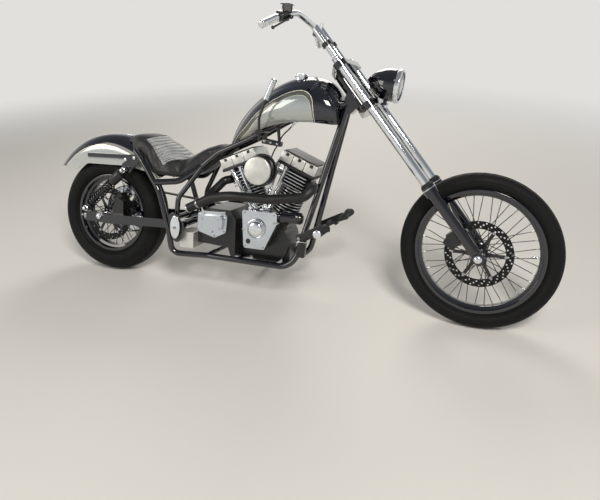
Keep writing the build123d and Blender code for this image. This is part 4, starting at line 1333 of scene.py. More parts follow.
@dataclass(frozen=True)
class Tyre:
    """A tyre with circumferential grooves, sipes across its ribs and rings on its walls."""

    node: str
    body: Body
    finish: Finish
    axle: Vector
    outer_r: float
    crown_r: float
    shoulder: float
    half: float
    bead_r: float
    bead_half: float
    grooves: tuple[float, ...]
    rows: int
    tread_half: float
    sweep: float
    wall: float = 9
    lip: float = 14
    groove_half: float = 2
    groove_deep: float = 3.6
    sipe_half: float = 2
    ring_high: float = 0.9

    def crown(self, side: float) -> float:
        """The crown's radius at a distance to the side."""
        return self.outer_r - self.crown_r + sqrt(self.crown_r**2 - side**2)

    def profile(self) -> list[Pair]:
        """The tyre's closed section: sideways distance and radius.

        Returns:
            The section's points.
        """
        shoulder_r = self.crown(self.shoulder)
        bulge_r = (shoulder_r + self.bead_r) / 2 + 4
        outside = arc(
            (self.bead_half, self.bead_r + self.lip), (self.half, bulge_r), (self.shoulder, shoulder_r),
            12,
        )
        ringed = []
        for place, (side, radius) in enumerate(outside):
            ringed.append((side, radius))
            if place in (2, 8):
                ringed += [(side + self.ring_high, radius + 1), (side + self.ring_high, radius + 3)]
                ringed.append((side + 0.2, radius + 4))
        inside = arc(
            (self.bead_half - self.wall, self.bead_r + self.lip),
            (self.half - self.wall, bulge_r),
            (self.shoulder - self.wall / 2, shoulder_r - self.wall),
            8,
        ) + arc(
            (self.shoulder - self.wall / 2, shoulder_r - self.wall),
            (self.shoulder / 2, self.crown(self.shoulder / 2) - self.wall),
            (0, self.outer_r - self.wall),
            5,
        )[1:]
        outer = [(self.bead_half, self.bead_r + 0.2), *ringed, *self.tread()]
        inner = [(self.bead_half - self.wall, self.bead_r + 0.2), *inside]
        outer_far = [(-side, radius) for side, radius in reversed(outer)]
        inner_far = [(-side, radius) for side, radius in inner]
        return outer + outer_far[1:] + inner_far + inner[::-1][1:]

    def tread(self) -> list[Pair]:
        """Half of the tread's section, from the shoulder to the middle, with its grooves.

        Returns:
            The tread's points.
        """
        points = []
        for step in range(8):
            side = self.shoulder * step / 8
            if all(abs(side - groove) > self.groove_half + 0.8 for groove in self.grooves):
                points.append((side, self.crown(side)))
        for groove in self.grooves:
            high, low = groove + self.groove_half, groove - self.groove_half
            points += [
                (high, self.crown(high)), (high - 0.5, self.crown(high) - self.groove_deep),
                (low + 0.5, self.crown(low) - self.groove_deep), (low, self.crown(low)),
            ]
        return sorted(points, reverse=True)

    def build(self) -> None:
        """Makes the tyre in place of the CAD one."""
        tyre = lathe(self.profile(), self.axle, LEFT, self.rows)
        self.cut_sipes(tyre)
        name = self.node.replace("tyre", "tread_tyre")
        install(name, coat(self.finish, tyre), Slot.TYRE, self.node, body=self.body, smooth=28)

    def cut_sipes(self, tyre: Piece) -> None:
        """Slants the rows like arrowheads and sinks a sipe into every second one.

        Args:
            tyre: The plain tyre.
        """
        take(tyre)
        bpy.ops.object.mode_set(mode="EDIT")
        bpy.ops.mesh.select_mode(type="EDGE")
        mesh = bmesh.from_edit_mesh(tyre.data)
        bpy.ops.mesh.select_all(action="DESELECT")
        axle = metres(self.axle)
        pitch = FULL_TURN / self.rows

        def polar(point: Vector) -> Triple:
            """Row, sideways distance and radius of a point.

            Args:
                point: A point, in metres.

            Returns:
                The row, the distance and the radius.
            """
            across = point - axle
            turn = atan2(across.z, across.x)
            return turn / pitch, across.y / MM, sqrt(across.x**2 + across.z**2) / MM

        for edge in mesh.edges:
            (row, side, radius), (other_row, other_side, other_r) = (polar(v.co) for v in edge.verts)
            if abs(row - other_row) > 0.1 or abs(side) > self.tread_half:
                continue
            if abs(other_side) > self.tread_half or side * other_side < -0.01:
                continue
            if min(radius - self.crown(side), other_r - self.crown(other_side)) < -0.3:
                continue
            parity = round(row) + (1 if side + other_side > 0 else 0)
            edge.select_set(parity % 2 == 0)
        for vertex in mesh.verts:
            row, side, radius = polar(vertex.co)
            slant = radians(self.sweep) * min(abs(side), self.shoulder) / self.shoulder
            turn = Matrix.Rotation(-slant, 3, "Y")
            vertex.co = axle + turn @ (vertex.co - axle)
        bmesh.update_edit_mesh(tyre.data)
        bpy.ops.mesh.bevel(offset=self.sipe_half * MM, segments=1, affect="EDGES")
        bpy.ops.mesh.extrude_region_shrink_fatten(
            TRANSFORM_OT_shrink_fatten={"value": -self.groove_deep * 0.8 * MM}
        )
        bpy.ops.mesh.select_mode(type="VERT")
        clear_selection()


@dataclass(frozen=True)
class WireWheel:
    """A drop-centre rim, a flanged hub and crossed spokes with their nipples."""

    node: str
    body: Body
    axle: Vector
    bead_r: float
    bead_half: float
    flange_at: float
    flange_r: float
    spoke_r: float
    hub_right: float
    hub_left: float
    well: float = 14
    lip: float = 12
    wall: float = 4
    bore: float = 10.3
    count: int = 40
    cross: float = 62
    nipple: float = 15

    def rim(self) -> list[Piece]:
        """The rim, with rolled lips.

        Returns:
            The rim.
        """
        seat, outside = self.bead_half + 1, self.bead_half + 5
        half_well = self.bead_half * 0.45
        low, bead = self.bead_r - self.well - self.wall, self.bead_r
        half = [
            (0, low), (half_well + 2, low), (half_well + 4, low + 1), (half_well + 9, bead - self.wall),
            (outside - 2, bead - self.wall - 0.4), (outside - 0.5, bead - self.wall + 0.8),
            (outside, bead), (outside - 0.6, bead + 5), (outside, bead + self.lip - 2.5),
            (outside - 0.8, bead + self.lip - 0.6), (outside - 2.2, bead + self.lip),
            (seat + 0.4, bead + self.lip - 0.8), (seat, bead + self.lip - 3), (seat, bead),
            (half_well + 5, bead), (half_well, bead - self.well), (0, bead - self.well),
        ]
        loop = half + [(-side, radius) for side, radius in reversed(half)][1:-1]
        return coat(BLACK_ENAMEL, lathe(loop, self.axle, LEFT, 120))

    def hub(self) -> list[Piece]:
        """The hub, with a waisted barrel and two flanges.

        Returns:
            The hub.
        """
        flange, edge = self.flange_at, self.flange_r
        loop = [
            (-self.hub_right, self.bore), (-self.hub_right, edge - 9), (-self.hub_right + 3, edge - 6),
            (-flange - 6, edge - 6), (-flange - 5.4, edge - 1), (-flange - 4, edge), (-flange + 1, edge),
            (-flange + 3, edge - 2), (-flange + 7, edge - 12), (-flange + 14, edge - 16),
            (flange - 14, edge - 16), (flange - 7, edge - 12), (flange - 3, edge - 2), (flange - 1, edge),
            (flange + 4, edge), (flange + 5.4, edge - 1), (flange + 6, edge - 6),
            (self.hub_left - 3, edge - 6), (self.hub_left, edge - 9), (self.hub_left, self.bore),
        ]
        return coat(BLACK_ENAMEL, lathe(loop, self.axle, LEFT, 64))

    def spoke_ends(self, place: int) -> tuple[Vector, Vector]:
        """Where a spoke leaves the hub and where it meets the rim, in mm.

        Args:
            place: The spoke's number.

        Returns:
            Its end at the hub and at the rim.
        """
        way = 1 if place % 2 else -1
        trail = 1 if (place // 2) % 2 else -1
        rim_turn = FULL_TURN * place / self.count
        hub_turn = rim_turn + trail * radians(self.cross)
        root_r, tip_r = self.flange_r - 4, self.bead_r - self.well - self.wall / 2
        root = Vector((root_r * cos(hub_turn), way * (self.flange_at + trail * 3.5), root_r * sin(hub_turn)))
        tip = Vector((tip_r * cos(rim_turn), way * 5, tip_r * sin(rim_turn)))
        return self.axle + root, self.axle + tip

    def spokes(self) -> list[Piece]:
        """Every spoke, with its nipple at the rim.

        Returns:
            The spokes and nipples.
        """
        made = []
        for place in range(self.count):
            root, tip = self.spoke_ends(place)
            run = (tip - root).normalized()
            wire = bar(root, tip, self.spoke_r, sides=10, edge=0.2)
            nipple = bar(
                tip - run * self.nipple, tip, self.spoke_r + 0.7, self.spoke_r + 2.0, sides=8, edge=0.3,
            )
            made += coat(BLACK_ENAMEL, wire) + coat(ZINC_STEEL, nipple)
        return made

    def valve(self) -> list[Piece]:
        """The tyre valve's stem and cap.

        Returns:
            The valve.
        """
        foot = self.axle + Vector((self.bead_r - self.well - self.wall, 0, 0))
        profile = [
            (0, 0), (0, 6), (2, 6), (4, 4.5), (6, 2.8), (20, 2.8), (20, 3.8), (22, 4.2), (31, 4.2),
            (33, 3), (33, 0),
        ]
        return coat(CHROME, lathe(profile, foot, Vector((-1, 0, 0)), 12))

    def build(self) -> None:
        """Makes the wheel in place of the CAD one."""
        pieces = self.rim() + self.hub() + self.spokes() + self.valve()
        name = self.node.replace("wire_wheel", "spoked_wheel")
        install(name, pieces, Slot.GLOSS_BLACK, self.node, body=self.body)


@dataclass(frozen=True)
class BrakeDisc:
    """A drilled ring on an armed carrier with its buttons and bolts."""

    node: str
    body: Body
    axle: Vector
    inner_side: float
    outer_r: float = 146
    band: float = 34
    thick: float = 5
    arms: int = 6
    centre_r: float = 30
    hole_r: float = 4

    def ring(self) -> list[Piece]:
        """The swept ring with its holes, chamfered on both faces.

        Returns:
            The ring.
        """
        near, far = self.inner_side, self.inner_side - self.thick
        inner_r = self.outer_r - self.band
        profile = [
            (near, inner_r + 0.6), (near, self.outer_r - 0.6), (near - 0.6, self.outer_r),
            (far + 0.6, self.outer_r), (far, self.outer_r - 0.6), (far, inner_r + 0.6),
            (far + 0.6, inner_r), (near - 0.6, inner_r),
        ]
        ring = lathe(profile, self.axle, LEFT, 120)
        hole = Vector((self.axle.x, 0, self.axle.z))
        drills = []
        for radius, first in ((inner_r + 9, 0), (inner_r + 18, 5), (inner_r + 27, 10)):
            spot = hole + Vector((radius, 0, 0))
            drill = bar(spot + LEFT * (near + 4), spot + LEFT * (far - 4), self.hole_r, sides=12, edge=0)
            drills += copies(drill, spread(self.axle, 24, first))
        return coat(DARK_STEEL, cut(ring, join(drills)))

    def carrier(self) -> list[Piece]:
        """The carrier: a centre, arms out to the ring, and a button and bolt on each.

        Returns:
            The carrier's pieces.
        """
        near, far = self.inner_side - 0.4, self.inner_side - self.thick + 0.4
        inner_r = self.outer_r - self.band
        centre = [
            (near, 16.2), (near, self.centre_r - 1), (near - 1, self.centre_r), (far - 1, self.centre_r),
            (far - 2, self.centre_r - 1), (far - 2, 16.2),
        ]
        hub = lathe(centre, self.axle, LEFT, 48)
        start, end = self.centre_r - 3, inner_r + 5
        outline = [
            (start, -13), (inner_r * 0.6, -7), (end - 8, -8), (end, -6), (end, 6), (end - 8, 8),
            (inner_r * 0.6, 7), (start, 13),
        ]
        corners = [self.axle + Vector((x, near, z)) for x, z in outline]
        arm = plate(corners, (0, far - near, 0), edge=0.8)
        moves = spread(self.axle, self.arms)
        spot = self.axle + Vector((inner_r + 1, far, 0))
        button = bar(spot + LEFT * 6, spot - LEFT * 1.6, 7, sides=20, edge=0.6)
        screw = bolt(self.axle + Vector((23, far - 2, 0)), -LEFT, 5, 3.5)
        made = coat(POWDER_COAT, hub, *copies(arm, moves))
        return made + coat(ZINC_STEEL, *copies(button, moves), *copies(screw, moves))

    def build(self) -> None:
        """Makes the disc in place of the CAD one."""
        name = self.node.replace("brake_disc", "drilled_disc")
        install(name, self.ring() + self.carrier(), Slot.STEEL, self.node, body=self.body)


@dataclass(frozen=True)
class Fork:
    """What dresses the fork: seals, caps, pinch bolts, the stem nut and the axle's ends."""

    half: float = 124
    tube_r: float = 20.5
    leg_r: float = 24
    leg_top: float = 366
    collar_r: float = 31
    tube_top: float = 1062
    lower_tree: Pair = (787.0, 821.0)
    upper_tree: Pair = (1011.0, 1041.0)
    clamp_r: float = 31
    stem_offset: float = 55

    def seals(self) -> list[Piece]:
        """Dust seals with their clips on top of the lower legs.

        Returns:
            The seals and clips.
        """
        seal = [
            (0, self.tube_r + 0.1), (0, self.collar_r - 2), (3, self.collar_r - 1),
            (6, self.collar_r - 2.4), (10, self.tube_r + 4), (15, self.tube_r + 1.6),
            (15, self.tube_r + 0.1),
        ]
        foot = STANCE.on_fork(self.leg_top, self.half)
        rubber = coat(MOULDED_RUBBER, lathe(seal, foot, STANCE.fork_up, 48))
        clip = [
            (-14, self.collar_r - 0.2), (-14, self.collar_r + 0.9), (-10, self.collar_r + 0.9),
            (-10, self.collar_r - 0.2),
        ]
        band = coat(CHROME, lathe(clip, foot, STANCE.fork_up, 48))
        return both_sides(rubber + band)

    def caps(self) -> list[Piece]:
        """Hexagon caps on the fork tubes, with a bead below them.

        Returns:
            The caps and beads.
        """
        top = STANCE.on_fork(self.tube_top, self.half)
        bead = [(0, 0), (0, 20.5), (2, 21.5), (4, 20.5), (5, 17), (5, 0)]
        ring = lathe(bead, top, STANCE.fork_up, 40)
        cap = bar(top + STANCE.fork_up * 5, top + STANCE.fork_up * 13, 15, sides=6, edge=1.2)
        return both_sides(coat(CHROME, ring, cap))

    def pinch_bolts(self) -> list[Piece]:
        """Two bolts behind each clamp of both trees.

        Returns:
            The bolts.
        """
        made = []
        for low, high in (self.lower_tree, self.upper_tree):
            for share in (0.28, 0.72):
                along = low + (high - low) * share
                seat = STANCE.on_fork(along, self.half - 16, self.clamp_r - 4)
                made.append(bolt(seat, STANCE.fork_back + LEFT * -0.25, 5.5, 7))
        return both_sides(coat(ZINC_STEEL, *made))

    def stem_nut(self) -> list[Piece]:
        """The steering stem's nut and washer on the upper tree.

        Returns:
            The washer, nut and dome.
        """
        foot = STANCE.on_fork(self.upper_tree[1], 0, self.stem_offset)
        up = STANCE.fork_up
        washer = bar(foot, foot + up * 3, 23, sides=40, edge=0.8)
        nut = bar(foot + up * 3, foot + up * 12, 19, sides=6, edge=1.6)
        dome = [(0, 0), (0, 15), (3, 14), (6, 10), (8, 4), (8.6, 0)]
        cap = lathe(dome, foot + up * 12, up, 32)
        return coat(CHROME, washer, nut, cap)

    def axle_ends(self) -> list[Piece]:
        """Domed covers over the axle's ends and the pinch bolts under the legs.

        Returns:
            The covers and bolts.
        """
        made = []
        for side in SIDES:
            end = Vector((STANCE.wheelbase, side * (self.half + 40), STANCE.front_z))
            dome = [(-8, 0), (-8, 18), (0, 18), (4, 16.5), (8, 11), (10, 4), (10.4, 0)]
            made += coat(CHROME, lathe(dome, end, LEFT * side, 32))
            for along in (-17, 17):
                seat = STANCE.on_fork(along, side * self.half, self.leg_r - 1)
                made += coat(ZINC_STEEL, bolt(seat, STANCE.fork_back, 5, 6))
        return made

    def build(self) -> None:
        """Makes the fork's trim."""
        install("fork_dust_seals", self.seals(), Slot.RUBBER, body=Body.STEERING)
        install("fork_tube_caps", self.caps(), Slot.CHROME, body=Body.STEERING)
        install("tree_pinch_bolts", self.pinch_bolts(), Slot.STEEL, body=Body.STEERING)
        install("steering_stem_nut", self.stem_nut(), Slot.CHROME, body=Body.STEERING)
        install("front_axle_ends", self.axle_ends(), Slot.CHROME, body=Body.STEERING)


@dataclass(frozen=True)
class Headlight:
    """The headlight's chrome ring, its reflector with the bulb, and its mounting nut."""

    centre: Triple = (1544, 0, 1064)
    drop: float = 9
    radius: float = 74
    bowl: float = 56

    @property
    def ahead(self) -> Vector:
        """The way that the lamp points."""
        return Vector((cos(radians(self.drop)), 0, -sin(radians(self.drop))))

    def ring(self) -> list[Piece]:
        """The ring that holds the glass, over the shell's front edge.

        Returns:
            The ring.
        """
        r = self.radius
        profile = [
            (-10, r + 2.6), (-8, r + 4.6), (3, r + 6), (8, r + 5), (11.5, r + 1), (11.5, r - 4),
            (9, r - 7), (6.2, r - 7), (6.2, r - 3), (4, r + 4), (-8, r + 3.4),
        ]
        return coat(CHROME, lathe(profile, self.centre, self.ahead, 96))

    def reflector(self) -> list[Piece]:
        """The silvered bowl and its bulb.

        Returns:
            The bowl and bulb.
        """
        r, deep = self.radius - 6.6, self.bowl - 1
        outer = arc((-0.4, r), (-deep * 0.62, r * 0.58), (-deep, 9), 14)
        inner = [(along + 1.2, radius - 0.8) for along, radius in outer]
        bowl = lathe(outer + [(-deep, 0), (-deep + 1.2, 0)] + inner[::-1], self.centre, self.ahead, 72)
        bulb = [(-deep + 1, 0), (-deep + 1, 9), (-deep + 12, 9), (-deep + 14, 6), (-deep + 30, 6.5),
                (-deep + 36, 4), (-deep + 38, 0)]
        lamp = lathe(bulb, self.centre, self.ahead, 24)
        return coat(REFLECTOR, bowl) + coat(SATIN_ALLOY, lamp)

    def mount(self) -> list[Piece]:
        """The ball nut and washer under the lamp.

        Returns:
            The nut and washer.
        """
        foot = Vector((1484, 0, 978))
        made = [
            bar(foot + Vector((0, 0, -3)), foot, 17, sides=32, edge=0.8),
            bar(foot + Vector((0, 0, -12)), foot + Vector((0, 0, -3)), 13, sides=6, edge=1.2),
        ]
        return coat(CHROME, *made)

    def build(self) -> None:
        """Makes the lamp's trim."""
        install("headlight_ring", self.ring(), Slot.CHROME, body=Body.STEERING)
        install("headlight_reflector", self.reflector(), Slot.CHROME, body=Body.STEERING)
        install("headlight_nut", self.mount(), Slot.CHROME, body=Body.STEERING)


@dataclass(frozen=True)
class Handlebar:
    """The bar's ribbed grips, the clamps on its risers and the brake lever's details."""

    sweep: Triple = (1050, 270, 1337)
    end: Triple = (1027, 385, 1290)
    grip_r: float = 17.5
    bar_r: float = 14
    grip_start: float = 16
    riser_half: float = 44
    riser_behind: float = 11
    riser_r: float = 18
    riser_foot: float = 1041
    collar_at: float = 1150
    lever_root: Triple = (1102, -244, 1340)

    def grips(self) -> list[Piece]:
        """Ribbed chrome grips with end caps.

        Returns:
            The grips and caps.
        """
        start, end = Vector(self.sweep), Vector(self.end)
        ahead = (end - start).normalized()
        foot = start + ahead * self.grip_start
        long = (end - start).length - self.grip_start + 6
        r = self.grip_r
        profile = [(0, self.bar_r + 0.4), (0, r - 1), (1, r), (8, r), (9, r - 1.4)]
        rib = 9.0
        while rib < long - 14:
            profile += [(rib + 1, r - 1.4), (rib + 2, r - 0.3), (rib + 5, r - 0.3), (rib + 6, r - 1.4)]
            rib += 6
        profile += [(long - 7, r - 1.4), (long - 6, r), (long - 1, r), (long, r - 1)]
        profile.append((long, self.bar_r + 0.4))
        sleeve = lathe(profile, foot, ahead, 36)
        plug = [
            (long - 9, 0), (long - 9, self.bar_r), (long, self.bar_r), (long + 1, r - 3),
            (long + 3, r - 4), (long + 4.4, 9), (long + 4.4, 0),
        ]
        return both_sides(coat(CHROME, sleeve, lathe(plug, foot, ahead, 36)))

    def clamps(self) -> list[Piece]:
        """A split collar with two bolts halfway up each riser, and a ring at its foot.

        Returns:
            The collars, bolts and rings.
        """
        made = []
        up = STANCE.fork_up
        foot = STANCE.on_fork(self.collar_at, self.riser_half, self.riser_behind)
        r = self.riser_r
        collar = [(0, r - 1), (0, r + 4), (1, r + 5), (21, r + 5), (22, r + 4), (22, r - 1)]
        made += coat(POWDER_COAT, lathe(collar, foot, up, 40))
        for step in (6, 16):
            seat = foot + up * step + STANCE.fork_back * (r + 4)
            made += coat(ZINC_STEEL, bolt(seat, STANCE.fork_back, 3.6, 4))
        base = STANCE.on_fork(self.riser_foot, self.riser_half, self.riser_behind)
        ring = [(0, 22), (0, 24.4), (3, 25), (12, 25), (14, 23), (16, 20), (18, 18.2), (18, 17.6)]
        made += coat(CHROME, lathe(ring, base, up, 40))
        return both_sides(made)

    def lever_trim(self) -> list[Piece]:
        """The reservoir's lid, screws and sight glass, and the lever's pivot.

        Returns:
            The lid, screws, pivot and sight glass.
        """
        lid = plate(
            [(1048, -250, 1396), (1090, -250, 1396), (1096, -194, 1396), (1054, -194, 1396)],
            (0, 0, 3), edge=1.4,
        )
        screws = [bolt(spot, UP, 3, 2) for spot in ((1057, -242, 1399), (1087, -202, 1399))]
        pivot = bolt(Vector(self.lever_root) + Vector((0, 0, 7)), UP, 6, 5)
        window = bar((1068, -255, 1380), (1066, -260, 1380), 6, sides=20, edge=0.8)
        made = coat(POWDER_COAT, lid) + coat(ZINC_STEEL, pivot) + coat(LAMP_GLASS, window)
        return made + coat(ZINC_STEEL, *screws)

    def build(self) -> None:
        """Makes the handlebar's grips and trim."""
        install("ribbed_grips", self.grips(), Slot.RUBBER, "hand_grips", body=Body.STEERING)
        install("riser_clamps", self.clamps(), Slot.CHROME, body=Body.STEERING)
        install("brake_lever_trim", self.lever_trim(), Slot.SATIN_BLACK, body=Body.STEERING)


@dataclass(frozen=True)
class FuelCap:
    """A low polished cap with a knurled edge on its filler neck."""

    centre: Triple = (1082, -34, 1078)
    radius: float = 34
    height: float = 30
    knurls: int = 30

    def build(self) -> None:
        """Makes the cap in place of the CAD one."""
        r, h = self.radius, self.height
        profile = [
            (0, 0), (0, r - 7), (h - 17, r - 7), (h - 16, r - 2), (h - 14, r - 0.6), (h - 4, r - 0.6),
            (h - 1.6, r - 2.4), (h - 0.4, r - 6), (h - 1.4, r - 9), (h - 0.8, r - 14), (h, r - 24), (h, 0),
        ]
        cap = lathe(profile, self.centre, UP, 60)
        foot = Vector(self.centre) + Vector((r - 0.8, 0, h - 13))
        rib = bar(foot, foot + Vector((0, 0, 9)), 1.1, sides=6, edge=0.2)
        moves = spread(self.centre, self.knurls, axis="Z")
        made = coat(CHROME, cap, *copies(rib, moves))
        install("knurled_fuel_cap", made, Slot.CHROME, "fuel_cap")


@dataclass(frozen=True)
class Fender:
    """The rear fender: a thin arch that draws in and narrows towards its tail.

    Turns are measured up from straight ahead, in degrees. The section gives half of the arch:
    how far in from the widest line and how far down from the crown each point lies.
    """

    radius: float = 443
    tail_radius: float = 423
    half: float = 96
    tail_half: float = 88
    wall: float = 3
    front: float = 34
    tail: float = 146
    ease_from: float = 80
    cut_back: float = 8.5
    cut_from: float = 122
    side_top: float = 72
    steps: int = 70
    section: Table = (
        (0, 150), (0, 124), (0, 98), (0, 72), (2, 58), (8, 42), (21, 26), (32, 16), (46, 8),
        (60, 4), (78, 1),
    )
    edge: Table = (
        (-300, 520), (-241, 546), (-202, 556), (-152, 586), (-110, 598), (140, 602), (250, 582),
        (350, 552), (420, 530),
    )

    def edge_radius(self, turn: float) -> float:
        """How far the lower edge is from the axle at a turn.

        Args:
            turn: The turn round the axle, in degrees.

        Returns:
            The radius, in mm.
        """
        way = Vector((cos(radians(turn)), sin(radians(turn))))
        points = [Vector((x, z - STANCE.rear_z)) for x, z in self.edge]
        for here, there in zip(points, points[1:]):
            run = there - here
            turned = run.x * way.y - run.y * way.x
            share = -(here.x * way.y - here.y * way.x) / turned if turned else -1.0
            if 0 <= share <= 1:
                return (here + run * share).length
        return self.radius - self.side_top

    def place(self, turn: float, side: float, drop: float) -> Vector:
        """Where a point of the plain arch goes.

        Args:
            turn: The turn round the axle, in degrees.
            side: The distance to the side, in mm.
            drop: The drop below the crown, in mm.

        Returns:
            The point, in mm.
        """
        if turn > self.cut_from:
            end = self.tail - self.cut_back * min(drop / 43, 1)
            turn = self.cut_from + (turn - self.cut_from) * (end - self.cut_from) / (
                self.tail - self.cut_from
            )
        eased = min(max((turn - self.ease_from) / (self.tail - self.ease_from), 0), 1)
        radius = self.radius - (self.radius - self.tail_radius) * eased
        narrow = 1 - (1 - self.tail_half / self.half) * min(max((turn - 112) / (self.tail - 112), 0), 1)
        if drop > self.side_top:
            share = (drop - self.side_top) / (self.section[0][1] - self.side_top)
            drop = self.side_top + share * max(radius - self.edge_radius(turn) - self.side_top, 4)
        out = radius - drop
        spot = Vector((out * cos(radians(turn)), side * narrow, out * sin(radians(turn))))
        return spot + Vector((0, 0, STANCE.rear_z))

    def arch(self) -> Piece:
        """The arch's outer skin.

        Returns:
            The skin.
        """
        half = [(self.half - inset, drop) for inset, drop in self.section]
        line = half + [(0.0, 0.0)] + [(-side, drop) for side, drop in reversed(half)]
        axle = Vector((0, 0, STANCE.rear_z))
        ahead = Vector((cos(radians(self.front)), 0, sin(radians(self.front))))
        piece = trace([metres(axle + ahead * (self.radius - d) + LEFT * s) for s, d in line])
        select_all()
        bpy.ops.mesh.spin(
            steps=self.steps, angle=radians(self.tail - self.front), center=metres(axle), axis=LEFT
        )
        weld()
        face_outward()
        return settle(piece)

    def build(self) -> None:
        """Makes the fender in place of the CAD one, and the tab that holds the seat's tail."""
        skin = self.arch()
        for vertex in skin.data.vertices:
            x, side, z = vertex.co / MM
            z -= STANCE.rear_z
            turn = atan2(z, x) * 360 / FULL_TURN
            vertex.co = metres(self.place(turn, side, self.radius - sqrt(x * x + z * z)))
        skin.data.update()
        top = max(skin.data.polygons, key=lambda face: face.center.z)
        if top.normal.z < 0:
            skin.data.flip_normals()
        modify(skin, "SOLIDIFY", thickness=self.wall * MM, offset=-1, use_even_offset=True)
        made = coat(FENDER_PAINT, skin)
        install("drawn_fender", made, Slot.GLOSS_BLACK, "rear_fender", smooth=50)
        tab = plate([(66, -13, 763), (66, 13, 763), (118, 13, 757), (118, -13, 757)], (0, 0, 3), edge=0.9)
        screw = bolt((78, 0, 764.6), Vector((0.1, 0, 1)), 5, 3)
        install("seat_tab", coat(CHROME, tab) + coat(ZINC_STEEL, screw), Slot.CHROME)


@dataclass(frozen=True)
class FenderTrim:
    """The struts' bolts and the shock absorbers' nuts."""

    shock_top: Pair = (160, 586)
    shock_low: Pair = (-80, 362)
    shock_side: float = 165

    def build(self) -> None:
        """Makes the fasteners."""
        made = []
        for x, z in ((214, 652), (160, 640)):
            made += coat(CHROME, bolt((x, 134, z), LEFT, 8.5, 8))
        for x, z in (self.shock_top, self.shock_low):
            dome = [(0, 0), (0, 13), (3, 13), (6, 12), (12, 10), (15, 5), (16, 0)]
            made += coat(CHROME, lathe(dome, (x, self.shock_side, z), LEFT, 6))
        install("rear_fasteners", both_sides(made), Slot.CHROME)


